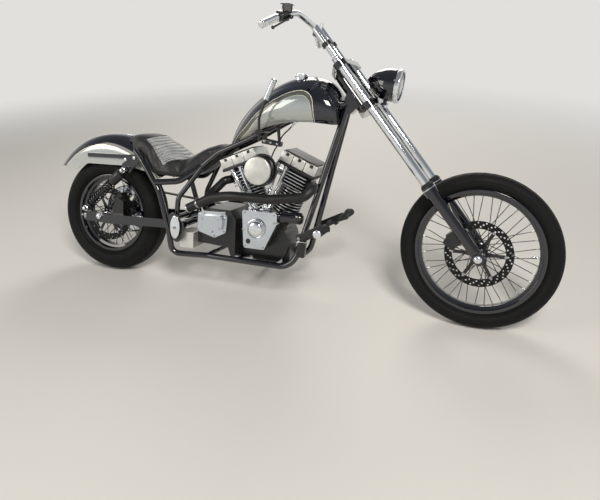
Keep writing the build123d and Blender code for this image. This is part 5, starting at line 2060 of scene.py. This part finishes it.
@dataclass(frozen=True)
class Seat:
    """A sprung-foam saddle: a pleated grey panel between black piped sides."""

    voxel: float = 6
    swell: float = 6
    pressure: float = 4
    stiffness: float = 30
    frames: int = 20
    facing_up: float = 0.05
    pleats: int = 9
    pleat_deep: float = 5.6
    thread_r: float = 1.3
    panel_rear: Pair = (298.0, 45.0)
    panel_front: Pair = (504.0, 120.0)
    panel_half: Pair = (96.0, 130.0)
    piping_r: float = 3
    lift: float = 0.6
    top: Table = (
        (112, 757), (200, 780), (300, 774), (384, 728), (480, 656), (562, 706), (655, 750), (708, 752)
    )
    low: Table = ((150, 690), (240, 640), (345, 568), (492, 570), (590, 612), (684, 690), (742, 735))
    plan: Table = ((105, 66), (200, 112), (300, 132), (420, 138), (520, 122), (620, 86), (765, 44))
    section: Table = ((120, 3.6), (240, 3.2), (290, 2.5), (330, 2.1), (500, 2.1), (580, 2.8), (700, 3.2))
    hollow: Table = ((150, 0), (200, 9), (320, 11), (400, 4), (460, 0))

    def at(self, table: Table, x: float) -> float:
        """A table's value at a distance along the machine.

        Args:
            table: Distances and their values.
            x: The distance along the machine, in mm.

        Returns:
            The value.
        """
        for (near, low), (far, high) in zip(table, table[1:]):
            if x <= far:
                return low + (high - low) * min(max((x - near) / (far - near), 0), 1)
        return table[-1][1]

    def panel_x(self, share: float, side: float) -> float:
        """How far along the machine a share of the panel's length is, at a distance to the side.

        Args:
            share: The share of the panel's length.
            side: The distance to the side, in mm.

        Returns:
            The distance, in mm.
        """
        rear = self.panel_rear[0] - self.panel_rear[1] * (side / self.panel_half[0]) ** 2
        front = self.panel_front[0] - self.panel_front[1] * (side / self.panel_half[1]) ** 2
        return rear + (front - rear) * share

    def panel_share(self, x: float, side: float) -> float:
        """The share of the panel's length that a point has passed."""
        rear, front = self.panel_x(0, side), self.panel_x(1, side)
        return (x - rear) / (front - rear)

    def panel_width(self, share: float) -> float:
        """Half the panel's width at a share of its length."""
        return self.panel_half[0] + (self.panel_half[1] - self.panel_half[0]) * min(max(share, 0), 1)

    def inside(self, x: float, side: float) -> float:
        """How far a point is inside the panel's edge, in mm.

        Args:
            x: The distance along the machine, in mm.
            side: The distance to the side, in mm.

        Returns:
            The distance to the nearest edge.
        """
        share = self.panel_share(x, side)
        return min(
            self.panel_width(share) - abs(side), x - self.panel_x(0, side), self.panel_x(1, side) - x
        )

    def dome(self, seat: Piece) -> None:
        """Rounds the flat-topped blank down to its sides and dishes its middle.

        Args:
            seat: The seat.
        """
        normals = [v.normal.copy() for v in seat.data.vertices]
        for vertex, normal in zip(seat.data.vertices, normals):
            x, side, z = vertex.co / MM
            low, top = self.at(self.low, x), self.at(self.top, x)
            if z < low or normal.z < -0.5:
                continue
            power = self.at(self.section, x)
            across = min(abs(side) / self.at(self.plan, x), 0.985)
            fall = (1 - across**power) ** (1 / power)
            dish = 1 - self.at(self.hollow, x) / max(top - low, 40) * (1 - across**2)
            vertex.co.z = (low + (z - low) * fall * dish) * MM

    def remesh(self, seat: Piece, rounds: int) -> None:
        """Gives the blank an even mesh and smooths it."""
        modify(seat, "REMESH", mode="VOXEL", voxel_size=self.voxel * MM)
        modify(seat, "SMOOTH", factor=0.5, iterations=rounds)

    def blank(self, model: Piece) -> Piece:
        """The CAD seat's copy, upright, remeshed and rounded off.

        Args:
            model: The CAD seat.

        Returns:
            The blank.
        """
        seat = bpy.data.objects.new("pleated_seat", model.data.copy())
        link(seat)
        seat.data.transform(model.matrix_world)
        seat.data.transform(STANCE.matrix.inverted())
        take(seat)
        bpy.ops.object.mode_set(mode="EDIT")
        weld(0.01)
        bpy.ops.object.mode_set(mode="OBJECT")
        self.remesh(seat, 4)
        self.dome(seat)
        self.remesh(seat, 26)
        return seat

    def inflate(self, seat: Piece) -> None:
        """Swells the blank under pressure, as foam does its cover, and caps the swell.

        Args:
            seat: The seat.
        """
        scene = bpy.context.scene
        start = [v.co.copy() for v in seat.data.vertices]
        cloth = seat.modifiers.new("cover", "CLOTH")
        cloth.settings.use_pressure = True
        cloth.settings.uniform_pressure_force = self.pressure
        cloth.settings.effector_weights.gravity = 0
        cloth.settings.tension_stiffness = self.stiffness
        for frame in range(1, self.frames + 1):
            scene.frame_set(frame)
        take(seat)
        bpy.ops.object.modifier_apply(modifier=cloth.name)
        scene.frame_set(1)
        limit = self.swell * MM
        for vertex, rest in zip(seat.data.vertices, start):
            move = vertex.co - rest
            if move.length > limit:
                vertex.co = rest + move.normalized() * limit

    def sew(self, seat: Piece) -> None:
        """Presses the pleats' seams into the panel and a channel round it.

        Args:
            seat: The seat.
        """
        normals = [v.normal.copy() for v in seat.data.vertices]
        for vertex, normal in zip(seat.data.vertices, normals):
            x, side, _ = vertex.co / MM
            inside = self.inside(x, side)
            if normal.z < self.facing_up or inside < -6:
                continue
            crest = abs(sin(pi * self.panel_share(x, side) * self.pleats)) ** 0.6
            rise = (crest - 0.72) * self.pleat_deep * min(max(inside / 10, 0), 1)
            if inside < 6:
                rise -= 1.6
            vertex.co += normal * rise * MM

    def border(self) -> list[Pair]:
        """The panel's edge, round from its rear right corner.

        Returns:
            Points along the machine and to the side.
        """
        count = 12
        steps = [i / count for i in range(count)]
        right = [(s, -self.panel_width(s)) for s in steps]
        front = [(1.0, self.panel_half[1] * (2 * s - 1)) for s in steps]
        left = [(1 - s, self.panel_width(1 - s)) for s in steps]
        rear = [(0.0, self.panel_half[0] * (1 - 2 * s)) for s in steps]
        spots = right + front + left + rear
        return [(self.panel_x(share, side), side) for share, side in spots]

    def on_leather(self, seat: Piece, spots: Sequence[Pair]) -> list[Vector]:
        """Points just above the seat's top, in mm.

        Args:
            seat: The seat.
            spots: How far along and to the side they are.

        Returns:
            The points.
        """
        tree = BVHTree.FromObject(seat, bpy.context.evaluated_depsgraph_get())
        hits = (tree.ray_cast(metres((x, y, 1000)), -UP)[0] for x, y in spots)
        return [Vector((x, y, hit.z / MM + self.lift)) for (x, y), hit in zip(spots, hits)]

    def piping(self, seat: Piece) -> list[Piece]:
        """The cord sewn round the panel's edge, lying on the leather.

        Args:
            seat: The seat.

        Returns:
            The cord.
        """
        points = self.on_leather(seat, self.border())
        points.append(points[0])
        return coat(BLACK_HIDE, tube(points, self.piping_r))

    def groove_shade_welts(self, seat: Piece) -> list[Piece]:
        """The seam's welt at the bottom of every pleat, in black hide: a dark cord whose colour paints the
        shade in the pleat's groove.

        Args:
            seat: The seat.

        Returns:
            The welts, dark cords that paint the grooves' shade.
        """
        shade_welts = []
        for pleat in range(1, self.pleats):
            share = pleat / self.pleats
            across = [(self.panel_width(share) - 2) * (step / 6 - 1) for step in range(13)]
            points = self.on_leather(seat, [(self.panel_x(share, y), y) for y in across])
            shade_welts.append(tube(points, self.thread_r, rounds=2))
        # Black hide on the welts paints the shade in the pleats' grooves.
        return coat(BLACK_HIDE, *shade_welts)

    def build(self, model: Piece) -> None:
        """Makes the seat in place of the CAD one.

        Args:
            model: The CAD seat.
        """
        seat = self.blank(model)
        self.inflate(seat)
        modify(seat, "SUBSURF", levels=1, render_levels=1)
        self.sew(seat)
        coat(BLACK_HIDE, seat)
        seat.data.materials.append(GREY_HIDE.build())
        for face in seat.data.polygons:
            x, side, _ = face.center / MM
            if face.normal.z > self.facing_up and self.inside(x, side) > 0:
                face.material_index = 1
        piping = self.piping(seat)
        # The dark welts laid in the pleats' grooves are painted shade.
        seam_shade = self.groove_shade_welts(seat)
        install("pleated_seat", [seat], Slot.LEATHER, "seat", smooth=80)
        install("seat_piping", piping, Slot.LEATHER)
        install("seat_seam_shade", seam_shade, Slot.LEATHER)


@dataclass(frozen=True)
class Vee:
    """Where the two cylinders stand on the crank, in mm and degrees."""

    crank: Pair = (947, 281)
    half: float = 22.5

    def up(self, way: int) -> Vector:
        """Along a cylinder's axis; way is 1 for the front one and -1 for the rear one."""
        return Vector((way * sin(radians(self.half)), 0, cos(radians(self.half))))

    def ahead(self, way: int) -> Vector:
        """Square to a cylinder's axis, outward from the vee."""
        return Vector((way * cos(radians(self.half)), 0, -sin(radians(self.half))))

    def spot(self, way: int, along: float, ahead: float, side: float = 0) -> Vector:
        """A point by a cylinder, in mm."""
        crank = Vector((self.crank[0], side, self.crank[1]))
        return crank + self.up(way) * along + self.ahead(way) * ahead


VEE = Vee()


@dataclass(frozen=True)
class RockerBoxes:
    """The rocker boxes: a flange, three panels side by side, recessed bolts and a dark lid."""

    low: float = 396.2
    flange: float = 13.8
    panel_top: float = 460
    lid_top: float = 466.6
    wide: float = 168
    long: float = 198
    middle: float = -8
    shift: float = -9
    seam: float = 1.8
    notch_wide: float = 17
    notch_deep: float = 9
    notch_high: float = 17

    def slab(
        self, way: int, low: float, high: float, near: float, far: float, half: float, edge: float
    ) -> Piece:
        """A block on a cylinder's head between two distances ahead of its axis.

        Args:
            way: Minus one for the rear cylinder, one for the front one.
            low: Its foot above the crank.
            high: Its top.
            near: Where it starts ahead of the axis.
            far: Where it ends.
            half: Half its width.
            edge: Its edges' bevel.

        Returns:
            The block.
        """
        ends = ((near, -half), (near, half), (far, half), (far, -half))
        corners = [VEE.spot(way, low, self.middle + u, self.shift + v) for u, v in ends]
        return plate(corners, VEE.up(way) * (high - low), edge=edge, rounds=3)

    def panels(self, way: int) -> list[Piece]:
        """Three satin panels with the bolts' notches in their top edges.

        Args:
            way: Minus one for the rear cylinder, one for the front one.

        Returns:
            The panels.
        """
        pitch = self.long / 3
        half = self.wide / 2
        made, notches = [], []
        for place in range(3):
            near = -self.long / 2 + place * pitch + self.seam / 2
            far = near + pitch - self.seam
            made.append(self.slab(way, self.low + self.flange, self.panel_top, near, far, half, 3.0))
            middle = (near + far) / 2 + self.middle
            for side in SIDES:
                edge = self.shift + side * half
                u, v = self.notch_wide / 2, self.notch_deep
                corners = [
                    VEE.spot(way, self.panel_top - self.notch_high, middle + x, edge + y)
                    for x, y in ((-u, -v), (u, -v), (u, v), (-u, v))
                ]
                notches.append(plate(corners, VEE.up(way) * 40, edge=2.0))
        return coat(SATIN_ALLOY, cut(join(made), join(notches)))

    def bolts(self, way: int) -> list[Piece]:
        """A black bolt in every notch.

        Args:
            way: Minus one for the rear cylinder, one for the front one.

        Returns:
            The bolts.
        """
        pitch = self.long / 3
        made = []
        for place in range(3):
            middle = -self.long / 2 + (place + 0.5) * pitch + self.middle
            for side in SIDES:
                edge = self.shift + side * (self.wide / 2 - self.notch_deep / 2)
                seat = VEE.spot(way, self.panel_top - self.notch_high, middle, edge)
                made.append(bolt(seat, VEE.up(way), 4.2, 9))
        return coat(POWDER_COAT, *made)

    def build(self) -> None:
        """Makes both boxes in place of the CAD ones."""
        made = []
        for way in SIDES:
            half, end = self.wide / 2, self.long / 2
            flange = self.slab(way, self.low, self.low + self.flange - 1.2, -end - 1, end + 1, half + 2, 1.6
            )
            core = self.slab(way, self.low + 2, self.panel_top - 3, -end + 3, end - 3, half - 4, 1.0)
            lid = self.slab(way, self.panel_top - 1, self.lid_top, -end + 10, end - 10, half - 12, 2.6)
            made += coat(POWDER_COAT, flange, core, lid) + self.panels(way) + self.bolts(way)
        install("panelled_rocker_boxes", made, Slot.ALLOY, "rocker_boxes")


@dataclass(frozen=True)
class EngineTrim:
    """Bolts, collars, lifter blocks and caps on the engine and its covers."""

    rod_side: float = -88
    chest_top: float = 447
    rods: tuple[tuple[float, float, int], ...] = (
        (872, 757, -1), (894, 800, -1), (935, 1005, 1), (957, 1045, 1)
    )
    rocker_low: float = 396.2
    cam_face: float = -150
    box_face: float = -168
    primary_face: float = 184

    def rod_ends(self, foot_x: float, head_x: float, way: int) -> tuple[Vector, Vector]:
        """Where a pushrod tube meets the cam chest and its rocker box.

        Args:
            foot_x: The foot's distance along the machine.
            head_x: The head's.
            way: Minus one for the rear cylinder, one for the front one.

        Returns:
            The foot and the head.
        """
        half = radians(VEE.half)
        head_z = VEE.crank[1] + (self.rocker_low - way * (head_x - VEE.crank[0]) * sin(half)) / cos(half)
        foot = Vector((foot_x, self.rod_side, self.chest_top))
        return foot, Vector((head_x, self.rod_side, head_z))

    def collars(self) -> list[Piece]:
        """The collars and clips on the pushrod tubes, and the lifter blocks under them.

        Returns:
            The collars, clips and blocks.
        """
        low = [(0, 9.2), (0, 13), (5, 13.6), (7, 12), (16, 12), (18, 10.4), (20, 9.2)]
        mid = [(0, 9.1), (0, 11), (2, 12), (4, 11), (6, 9.1)]
        top = [(-20, 9.2), (-19, 11.6), (-7, 12), (-5, 13.4), (-2, 13.4), (-2, 9.2)]
        made = []
        for foot_x, head_x, way in self.rods:
            foot, head = self.rod_ends(foot_x, head_x, way)
            places = ((low, foot), (mid, foot + (head - foot) * 0.42), (top, head))
            made += coat(CHROME, *(lathe(ring, at, head - foot, 28) for ring, at in places))
        for near, far in ((858, 908), (921, 971)):
            ends = ((near, -17), (far, -17), (far, 17), (near, 17))
            corners = [(x, self.rod_side + y, self.chest_top - 1) for x, y in ends]
            made += coat(BUFFED_ALLOY, plate(corners, (0, 0, 6), edge=1.6))
        return made

    def cover_bolts(self) -> list[Piece]:
        """The socket-head bolts round the covers' edges.

        Returns:
            The bolts.
        """
        cam = [(862, 437), (1018, 437), (1019, 398), (962, 274), (870, 274), (856, 352)]
        box = [(616, 400), (645, 411), (742, 416), (757, 398), (753, 328), (699, 300), (613, 324)]
        made = [bolt((x, self.cam_face, z), -LEFT, 4.6, 5) for x, z in cam]
        made += [bolt((x, -150, z), -LEFT, 4.6, 5) for x, z in box]
        inner = [(640, 384), (728, 388), (736, 344), (698, 324), (640, 340)]
        made += [bolt((x, self.box_face, z), -LEFT, 4.2, 4) for x, z in inner]
        return coat(ZINC_STEEL, *made)

    def cam_dome(self) -> list[Piece]:
        """The ignition cap on the cam cover: a stepped dome with two screws and a rim.

        Returns:
            The cap, rim, screws and badge.
        """
        dome = [(0, 0), (0, 34.4), (1.5, 34.8), (3, 33.4), (5.5, 31), (7.6, 24), (8.6, 12), (8.8, 0)]
        made = coat(CHROME, lathe(dome, (926, -166, 363), -LEFT, 64))
        rim = [(0, 43), (0, 46), (2, 46.6), (3, 44), (2, 42)]
        made += coat(BUFFED_ALLOY, lathe(rim, (926, -160, 363), -LEFT, 64))
        for turn in (35, 215):
            seat = Vector((926 + 26 * cos(radians(turn)), -171.4, 363 + 26 * sin(radians(turn))))
            made += coat(ZINC_STEEL, bolt(seat, -LEFT, 3, 2))
        badge = [(0, 0), (0, 13), (1.4, 12), (2.2, 9), (2.2, 0)]
        oval = lathe(badge, (884, self.cam_face, 296), -LEFT, 32)
        made += coat(POWDER_COAT, oval)
        return made

    def primary_trim(self) -> list[Piece]:
        """The primary's clutch plate with five screws, its rim bolts and the chain window.

        Returns:
            The plate, screws and window.
        """
        face = self.primary_face
        dish = [(7, 0), (7, 52), (9, 54), (11, 51), (12, 40), (13, 20), (13.4, 0)]
        made = coat(CHROME, lathe(dish, (676, face, 338), LEFT, 64))
        for step in range(5):
            turn = step * FULL_TURN / 5
            seat = Vector((676 + 46 * cos(turn), face + 11.4, 338 + 46 * sin(turn)))
            made += coat(ZINC_STEEL, bolt(seat, LEFT, 3.6, 2.6))
        oval = [(-2, 0), (-2, 30), (1, 31), (3, 29), (4, 20), (4.4, 0)]
        made += coat(BUFFED_ALLOY, lathe(oval, (880, face, 296), LEFT, 48))
        for x, z in ((880, 271), (880, 321), (855, 296), (905, 296)):
            made += coat(ZINC_STEEL, bolt((x, face + 2, z), LEFT, 2.8, 2.4))
        return made

    def build(self) -> None:
        """Makes the engine's trim."""
        install("pushrod_collars", self.collars(), Slot.CHROME)
        install("cover_bolts", self.cover_bolts(), Slot.STEEL)
        install("ignition_cap", self.cam_dome(), Slot.CHROME)
        install("primary_trim", self.primary_trim(), Slot.CHROME)


@dataclass(frozen=True)
class AirCleaner:
    """The round air cleaner: its black back plate, the paper element, the wall and the pale dome."""

    centre: Triple = (943, 0, 649)
    back: float = 150
    face: float = 210
    radius: float = 70

    def build(self) -> None:
        """Makes the cleaner in place of the CAD one."""
        r, out = self.radius, -LEFT
        plate_profile = [
            (self.back - 14, 0), (self.back - 14, r + 4), (self.back - 12, r + 7), (self.back - 6, r + 8),
            (self.back - 3, r + 7), (self.back - 2, r + 2), (self.back - 2, 0),
        ]
        backing = coat(BLACK_ENAMEL, lathe(plate_profile, self.centre, out, 96))
        element = [(self.back - 3, 0), (self.back - 3, r - 3), (self.back + 12, r - 3), (self.back + 12, 0)]
        paper = coat(MOULDED_RUBBER, lathe(element, self.centre, out, 72))
        wall = [
            (self.back + 10, 0), (self.back + 10, r - 2), (self.back + 11, r), (self.face - 15, r),
            (self.face - 12, r - 2), (self.face - 12, 0),
        ]
        side = coat(POWDER_COAT, lathe(wall, self.centre, out, 96))
        crown = arc((self.face - 4, r - 6), (self.face - 1.5, r * 0.55), (self.face, 0), 10)
        dome = [
            (self.face - 13, 0), (self.face - 13, r - 2), (self.face - 8, r - 2.6),
            (self.face - 5.5, r - 4),
        ]
        shell = coat(SATIN_ALLOY, lathe(dome + crown, self.centre, out, 96))
        install("round_air_cleaner", backing + paper + side + shell, Slot.ALLOY, "air_cleaner")


@dataclass(frozen=True)
class Exhaust:
    """The pipes' trim: the bright outlet ring, and a clamp with its bolt."""

    pipe_r: float = 23
    tip: Triple = (548, -150, 424)
    before_tip: Triple = (690, -172, 494)

    def build(self) -> None:
        """Makes the trim."""
        tip, ahead = Vector(self.tip), Vector(self.before_tip) - Vector(self.tip)
        r = self.pipe_r
        ring = [(-0.6, r - 3), (-1.4, r - 0.6), (-0.6, r + 0.8), (3, r + 1), (8, r + 0.6), (8, r - 3)]
        made = coat(CHROME, lathe(ring, tip, ahead, 48))
        clamp = [(0, r - 0.4), (0, r + 1.8), (1, r + 2.2), (11, r + 2.2), (12, r + 1.8), (12, r - 0.4)]
        band = lathe(clamp, tip + ahead * 0.42, ahead, 48)
        made += coat(ZINC_STEEL, band)
        seat = tip + ahead * 0.42 + ahead.normalized() * 6 + Vector((0, -r - 1, 0))
        made += coat(ZINC_STEEL, bolt(seat, -LEFT, 4, 6))
        install("exhaust_trim", made, Slot.CHROME)


@dataclass(frozen=True)
class ShockAbsorbers:
    """Coil-over shock absorbers: a shrouded top, an open spring and bright eyes."""

    low: Pair = (-80, 362)
    high: Pair = (160, 586)
    side: float = 152
    eye_r: float = 15
    eye_wide: float = 26
    bore: float = 7.2
    spring_r: float = 22.5
    wire: float = 3.6
    turns: float = 11

    def build(self) -> None:
        """Makes the pair in place of the CAD ones."""
        low, high = (Vector((x, self.side, z)) for x, z in (self.low, self.high))
        along = (high - low).normalized()
        long = (high - low).length
        body = [
            (10, 0), (10, 9), (30, 10), (32, 24), (34, 26), (40, 26), (42, 24), (44, 14), (90, 14), (92, 9),
            (long - 120, 9), (long - 120, 14), (long - 92, 14), (long - 90, 25), (long - 86, 26.6),
            (long - 30, 26.6), (long - 24, 24), (long - 18, 12), (long - 10, 10), (long - 10, 0),
        ]
        damper = coat(POWDER_COAT, lathe(body, low, along, 40))
        spring = coil(low + along * 44, low + along * (long - 90), self.spring_r, self.wire, self.turns)
        eyes = []
        half = self.eye_wide / 2
        for x, z in (self.low, self.high):
            eye = [
                (-half, self.bore), (-half, self.eye_r - 1), (-half + 1, self.eye_r),
                (half - 1, self.eye_r), (half, self.eye_r - 1), (half, self.bore),
            ]
            eyes += coat(CHROME, lathe(eye, (x, self.side, z), LEFT, 32))
        pair = both_sides(damper + coat(BLACK_ENAMEL, spring) + eyes)
        install("coil_over_shocks", pair, Slot.SATIN_BLACK, "shock_absorbers")


@dataclass(frozen=True)
class FootPegs:
    """Ribbed rubber pegs with bright ends."""

    x: float = 1278
    z: float = 406
    inner: float = 166.2
    outer: float = 300
    radius: float = 18
    ribs: int = 12

    def build(self) -> None:
        """Makes the pegs in place of the CAD ones."""
        r, pitch = self.radius, (self.outer - self.inner - 34) / self.ribs
        profile = [(0, 0), (0, 12), (12, 12), (14, r - 1), (18, r)]
        for rib in range(self.ribs):
            start = 20 + rib * pitch
            profile += [
                (start, r), (start + pitch * 0.55, r), (start + pitch * 0.6, r - 2.6),
                (start + pitch * 0.95, r - 2.6),
            ]
        end = self.outer - self.inner
        profile += [(end - 12, r), (end - 10, r)]
        sleeve = coat(
            MOULDED_RUBBER, lathe([*profile, (end - 10, 0)], (self.x, self.inner, self.z), LEFT, 36),
        )
        cap = [
            (end - 10, 0), (end - 10, r - 1), (end - 9, r), (end - 3, r), (end - 1, r - 2), (end, r - 6),
            (end, 0),
        ]
        tip = coat(CHROME, lathe(cap, (self.x, self.inner, self.z), LEFT, 36))
        install("ribbed_foot_pegs", both_sides(sleeve + tip), Slot.RUBBER, "foot_pegs")


@dataclass(frozen=True)
class SwingarmTrim:
    """The rear axle's covers and adjusters, and the pivot's oval covers."""

    arm_outer: float = 147
    pivot: Pair = (504, 331)
    pivot_face: float = 198

    def build(self) -> None:
        """Makes the trim."""
        outer = self.arm_outer
        dome = [(0, 0), (0, 9), (2, 9), (4, 7), (6, 0)]
        made = coat(CHROME, lathe(dome, (0, outer + 14, STANCE.rear_z), LEFT, 24))
        block = [(x, outer - 1, z) for x, z in ((-100, 306), (-84, 306), (-84, 330), (-100, 330))]
        screw = bar((-118, outer - 11, 318), (-100, outer - 11, 318), 4, sides=12)
        made += coat(ZINC_STEEL, plate(block, (0, 5, 0), edge=1.2), screw)
        head = bar((-124, outer - 11, 318), (-118, outer - 11, 318), 7, sides=6)
        made += coat(CHROME, head)
        outline = [
            (self.pivot[0] + 27 * cos(turn), self.pivot_face, self.pivot[1] + 58 * sin(turn))
            for turn in (i * FULL_TURN / 32 for i in range(32))
        ]
        made += coat(CHROME, plate(outline, (0, 4, 0), edge=1.5, rounds=3))
        seat = (self.pivot[0], self.pivot_face + 4, self.pivot[1])
        made += coat(ZINC_STEEL, bolt(seat, LEFT, 9, 5))
        install("swingarm_trim", both_sides(made), Slot.CHROME)


@dataclass(frozen=True)
class PulleyBolts:
    """The bolts that hold the rear pulley to its hub."""

    circle_r: float = 44
    face: float = 97
    count: int = 5
    first: float = 36

    def build(self) -> None:
        """Makes the bolts."""
        axle = Vector((0, 0, STANCE.rear_z))
        seat = axle + Vector((self.circle_r, self.face, 0))
        made = copies(bolt(seat, LEFT, 6, 5), spread(axle, self.count, self.first))
        bolts = coat(ZINC_STEEL, *made)
        install("rear_pulley_bolts", bolts, Slot.STEEL, body=Body.REAR_WHEEL)


@dataclass(frozen=True)
class StandTrim:
    """The nut on the side stand's pivot."""

    pivot: Triple = (800, 128, 146)
    line: Triple = (0, 0.3133, 0.9497)

    def build(self) -> None:
        """Makes the trim."""
        line = Vector(self.line).normalized()
        seat = Vector(self.pivot) - line * 18
        nut = coat(ZINC_STEEL, bar(seat - line * 7, seat, 12, sides=6, edge=1.0))
        install("stand_pivot_nut", nut, Slot.STEEL)


@dataclass(frozen=True)
class FootControls:
    """The forward controls: a hanger, a lever and a pad on each side, and the brake's cylinder."""

    peg_inner: float = 166
    hanger: Table = (
        (1134, 358), (1180, 382), (1264, 424), (1296, 416), (1298, 394), (1240, 370), (1182, 334),
        (1138, 328),
    )
    cylinder: Table = ((1152, 262), (1156, 334), (1192, 334), (1188, 262))

    def build(self) -> None:
        """Makes the controls in place of the CAD ones."""
        inner = self.peg_inner
        hanger = plate([(x, inner - 12, z) for x, z in self.hanger], (0, 12, 0), edge=2.4, rounds=3)
        spigot = bar((1150, 112, 344), (1150, inner - 6, 344), 12)
        shaft = bar((1240, inner - 34, 372), (1240, inner - 8, 372), 11)
        line = [(1240, 143, 372), (1258, 143, 398), (1276, 143, 420), (1290, 145, 434)]
        made = coat(POWDER_COAT, hanger, spigot, shaft, tube(line, 6.0))
        made += coat(MOULDED_RUBBER, bar((1291, 140, 437), (1291, 182, 437), 7.5, sides=24, edge=2))
        made += coat(ZINC_STEEL, bolt((1150, inner, 344), LEFT, 8, 6))
        pair = both_sides(made)
        block = [(x, -inner + 2, z) for x, z in self.cylinder]
        cylinder = coat(POWDER_COAT, plate(block, (0, -32, 0), edge=4, rounds=3))
        lid = [(1154, -inner, 334), (1194, -inner, 334), (1194, -inner - 28, 334), (1154, -inner - 28, 334)]
        made = pair + cylinder + coat(CHROME, plate(lid, (0, 0, 4), edge=1.5))
        install("forward_controls", made, Slot.SATIN_BLACK, "foot_controls")


@dataclass(frozen=True)
class OilFilter:
    """The spin-on oil filter, with its flutes at the closed end."""

    start: Triple = (1030.2, -96, 423)
    radius: float = 30
    long: float = 111
    flutes: int = 14

    def build(self) -> None:
        """Makes the filter in place of the CAD one."""
        r, end = self.radius, self.long
        profile = [
            (0, 0), (0, r - 5), (6, r - 5), (7, r + 0.6), (10, r + 1), (12, r), (end - 26, r),
            (end - 24, r - 1.4), (end - 8, r - 2), (end - 3, r - 5), (end, r - 12), (end - 1, r - 16),
            (end - 1, 0),
        ]
        can = lathe(profile, self.start, AHEAD, 56)
        foot = Vector(self.start) + Vector((end - 23, 0, r - 2.2))
        flute = bar(foot, foot + Vector((15, 0, 0)), 1.6, sides=8, edge=0.3)
        moves = spread(self.start, self.flutes, axis="X")
        made = coat(BLACK_ENAMEL, can, *copies(flute, moves))
        install("spin_on_filter", made, Slot.GLOSS_BLACK, "oil_filter")


@dataclass(frozen=True)
class ShiftGrip:
    """The polished sleeve on the hand-shift lever, with its turned rings."""

    foot: Triple = (962, -170, 981)
    tip: Triple = (1002, -170, 1075)
    radius: float = 13

    def build(self) -> None:
        """Makes the sleeve."""
        foot, run = Vector(self.foot), Vector(self.tip) - Vector(self.foot)
        r, end = self.radius + 0.8, run.length
        profile = [(-1.5, 7), (-1.5, r - 1.5), (0, r)]
        for ring in (14.0, 20.0, end - 22, end - 16):
            profile += [(ring - 1, r), (ring, r - 0.8), (ring + 1, r)]
        profile += [(end - 1, r), (end + 1.6, r - 1.6), (end + 2.4, r - 5), (end + 2.6, 0)]
        sleeve = lathe([(-1.5, 0), *profile], foot, run, 44)
        install("shift_grip", coat(BUFFED_ALLOY, sleeve), Slot.ALLOY)


@dataclass(frozen=True)
class TopMount:
    """What lies between tank and engine: the top mount, its hanger and the petcock's fuel line."""

    side: float = -47

    def build(self) -> None:
        """Makes the mount on the right backbone tube."""
        side = self.side
        post = bar((978, side, 868), (990, side, 757), 9, 7)
        block = [(898, side - 16, 768), (1000, side - 16, 756), (1002, side - 16, 780), (900, side - 16, 794)]
        hanger = [(896, side - 10, 826), (920, side - 10, 838), (926, side - 10, 784), (902, side - 10, 786)]
        plates = plate(block, (0, 34, 0), edge=4, rounds=3), plate(hanger, (0, 8, 0), edge=1.6)
        made = coat(POWDER_COAT, post, *plates)
        for x, z in ((916, 779), (950, 774), (984, 769)):
            made += coat(ZINC_STEEL, bolt((x, side - 16, z), -LEFT, 6, 5))
        cock = [(0, 0), (0, 9), (8, 9), (10, 6), (22, 6), (24, 4.6), (34, 4.6), (34, 0)]
        foot = Vector((1074, -60, 886))
        way = Vector((-0.6, 0, -0.8))
        made += coat(CHROME, lathe(cock, foot, way, 28))
        line = [
            foot + way * 30, foot + way * 48, (1006, -60, 812), (988, -60, 770), (962, -60, 728),
            (950, -58, 692),
        ]
        made += coat(MOULDED_RUBBER, tube(line, 3.4))
        install("engine_top_mount", made, Slot.SATIN_BLACK)


def main() -> None:
    """Builds the studio, then every piece in order."""
    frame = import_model()
    Camera().build()
    Studio().build()
    nodes = frame["nodes"]
    dress_nodes(nodes)
    front_axle = Vector((STANCE.wheelbase, 0, STANCE.front_z))
    rear_axle = Vector((0, 0, STANCE.rear_z))
    Tyre(
        "front_tyre", Body.FRONT_WHEEL, FRONT_RUBBER, front_axle, outer_r=350, crown_r=50, shoulder=38,
        half=46, bead_r=267, bead_half=30, grooves=(9.0, 25.0), rows=100, tread_half=34, sweep=5,
    ).build()
    Tyre(
        "rear_tyre", Body.REAR_WHEEL, REAR_RUBBER, rear_axle, outer_r=323, crown_r=80, shoulder=62,
        half=75, bead_r=203, bead_half=50, grooves=(14.0, 42.0), rows=84, tread_half=58, sweep=8,
    ).build()
    WireWheel(
        "front_wire_wheel", Body.FRONT_WHEEL, front_axle, bead_r=267, bead_half=30, flange_at=30,
        flange_r=38, spoke_r=1.9, hub_right=60, hub_left=56,
    ).build()
    WireWheel(
        "rear_wire_wheel", Body.REAR_WHEEL, rear_axle, bead_r=203, bead_half=50, flange_at=36,
        flange_r=46, spoke_r=2.1, hub_right=66, hub_left=84.8,
    ).build()
    BrakeDisc("front_brake_disc", Body.FRONT_WHEEL, front_axle, inner_side=-60.2).build()
    BrakeDisc("rear_brake_disc", Body.REAR_WHEEL, rear_axle, inner_side=-66.2).build()
    Fork().build()
    Headlight().build()
    Handlebar().build()
    FuelCap().build()
    Fender().build()
    FenderTrim().build()
    Seat().build(nodes["seat"])
    RockerBoxes().build()
    EngineTrim().build()
    AirCleaner().build()
    Exhaust().build()
    ShockAbsorbers().build()
    FootPegs().build()
    SwingarmTrim().build()
    PulleyBolts().build()
    StandTrim().build()
    FootControls().build()
    OilFilter().build()
    ShiftGrip().build()
    TopMount().build()


if __name__ == "__main__":
    main()
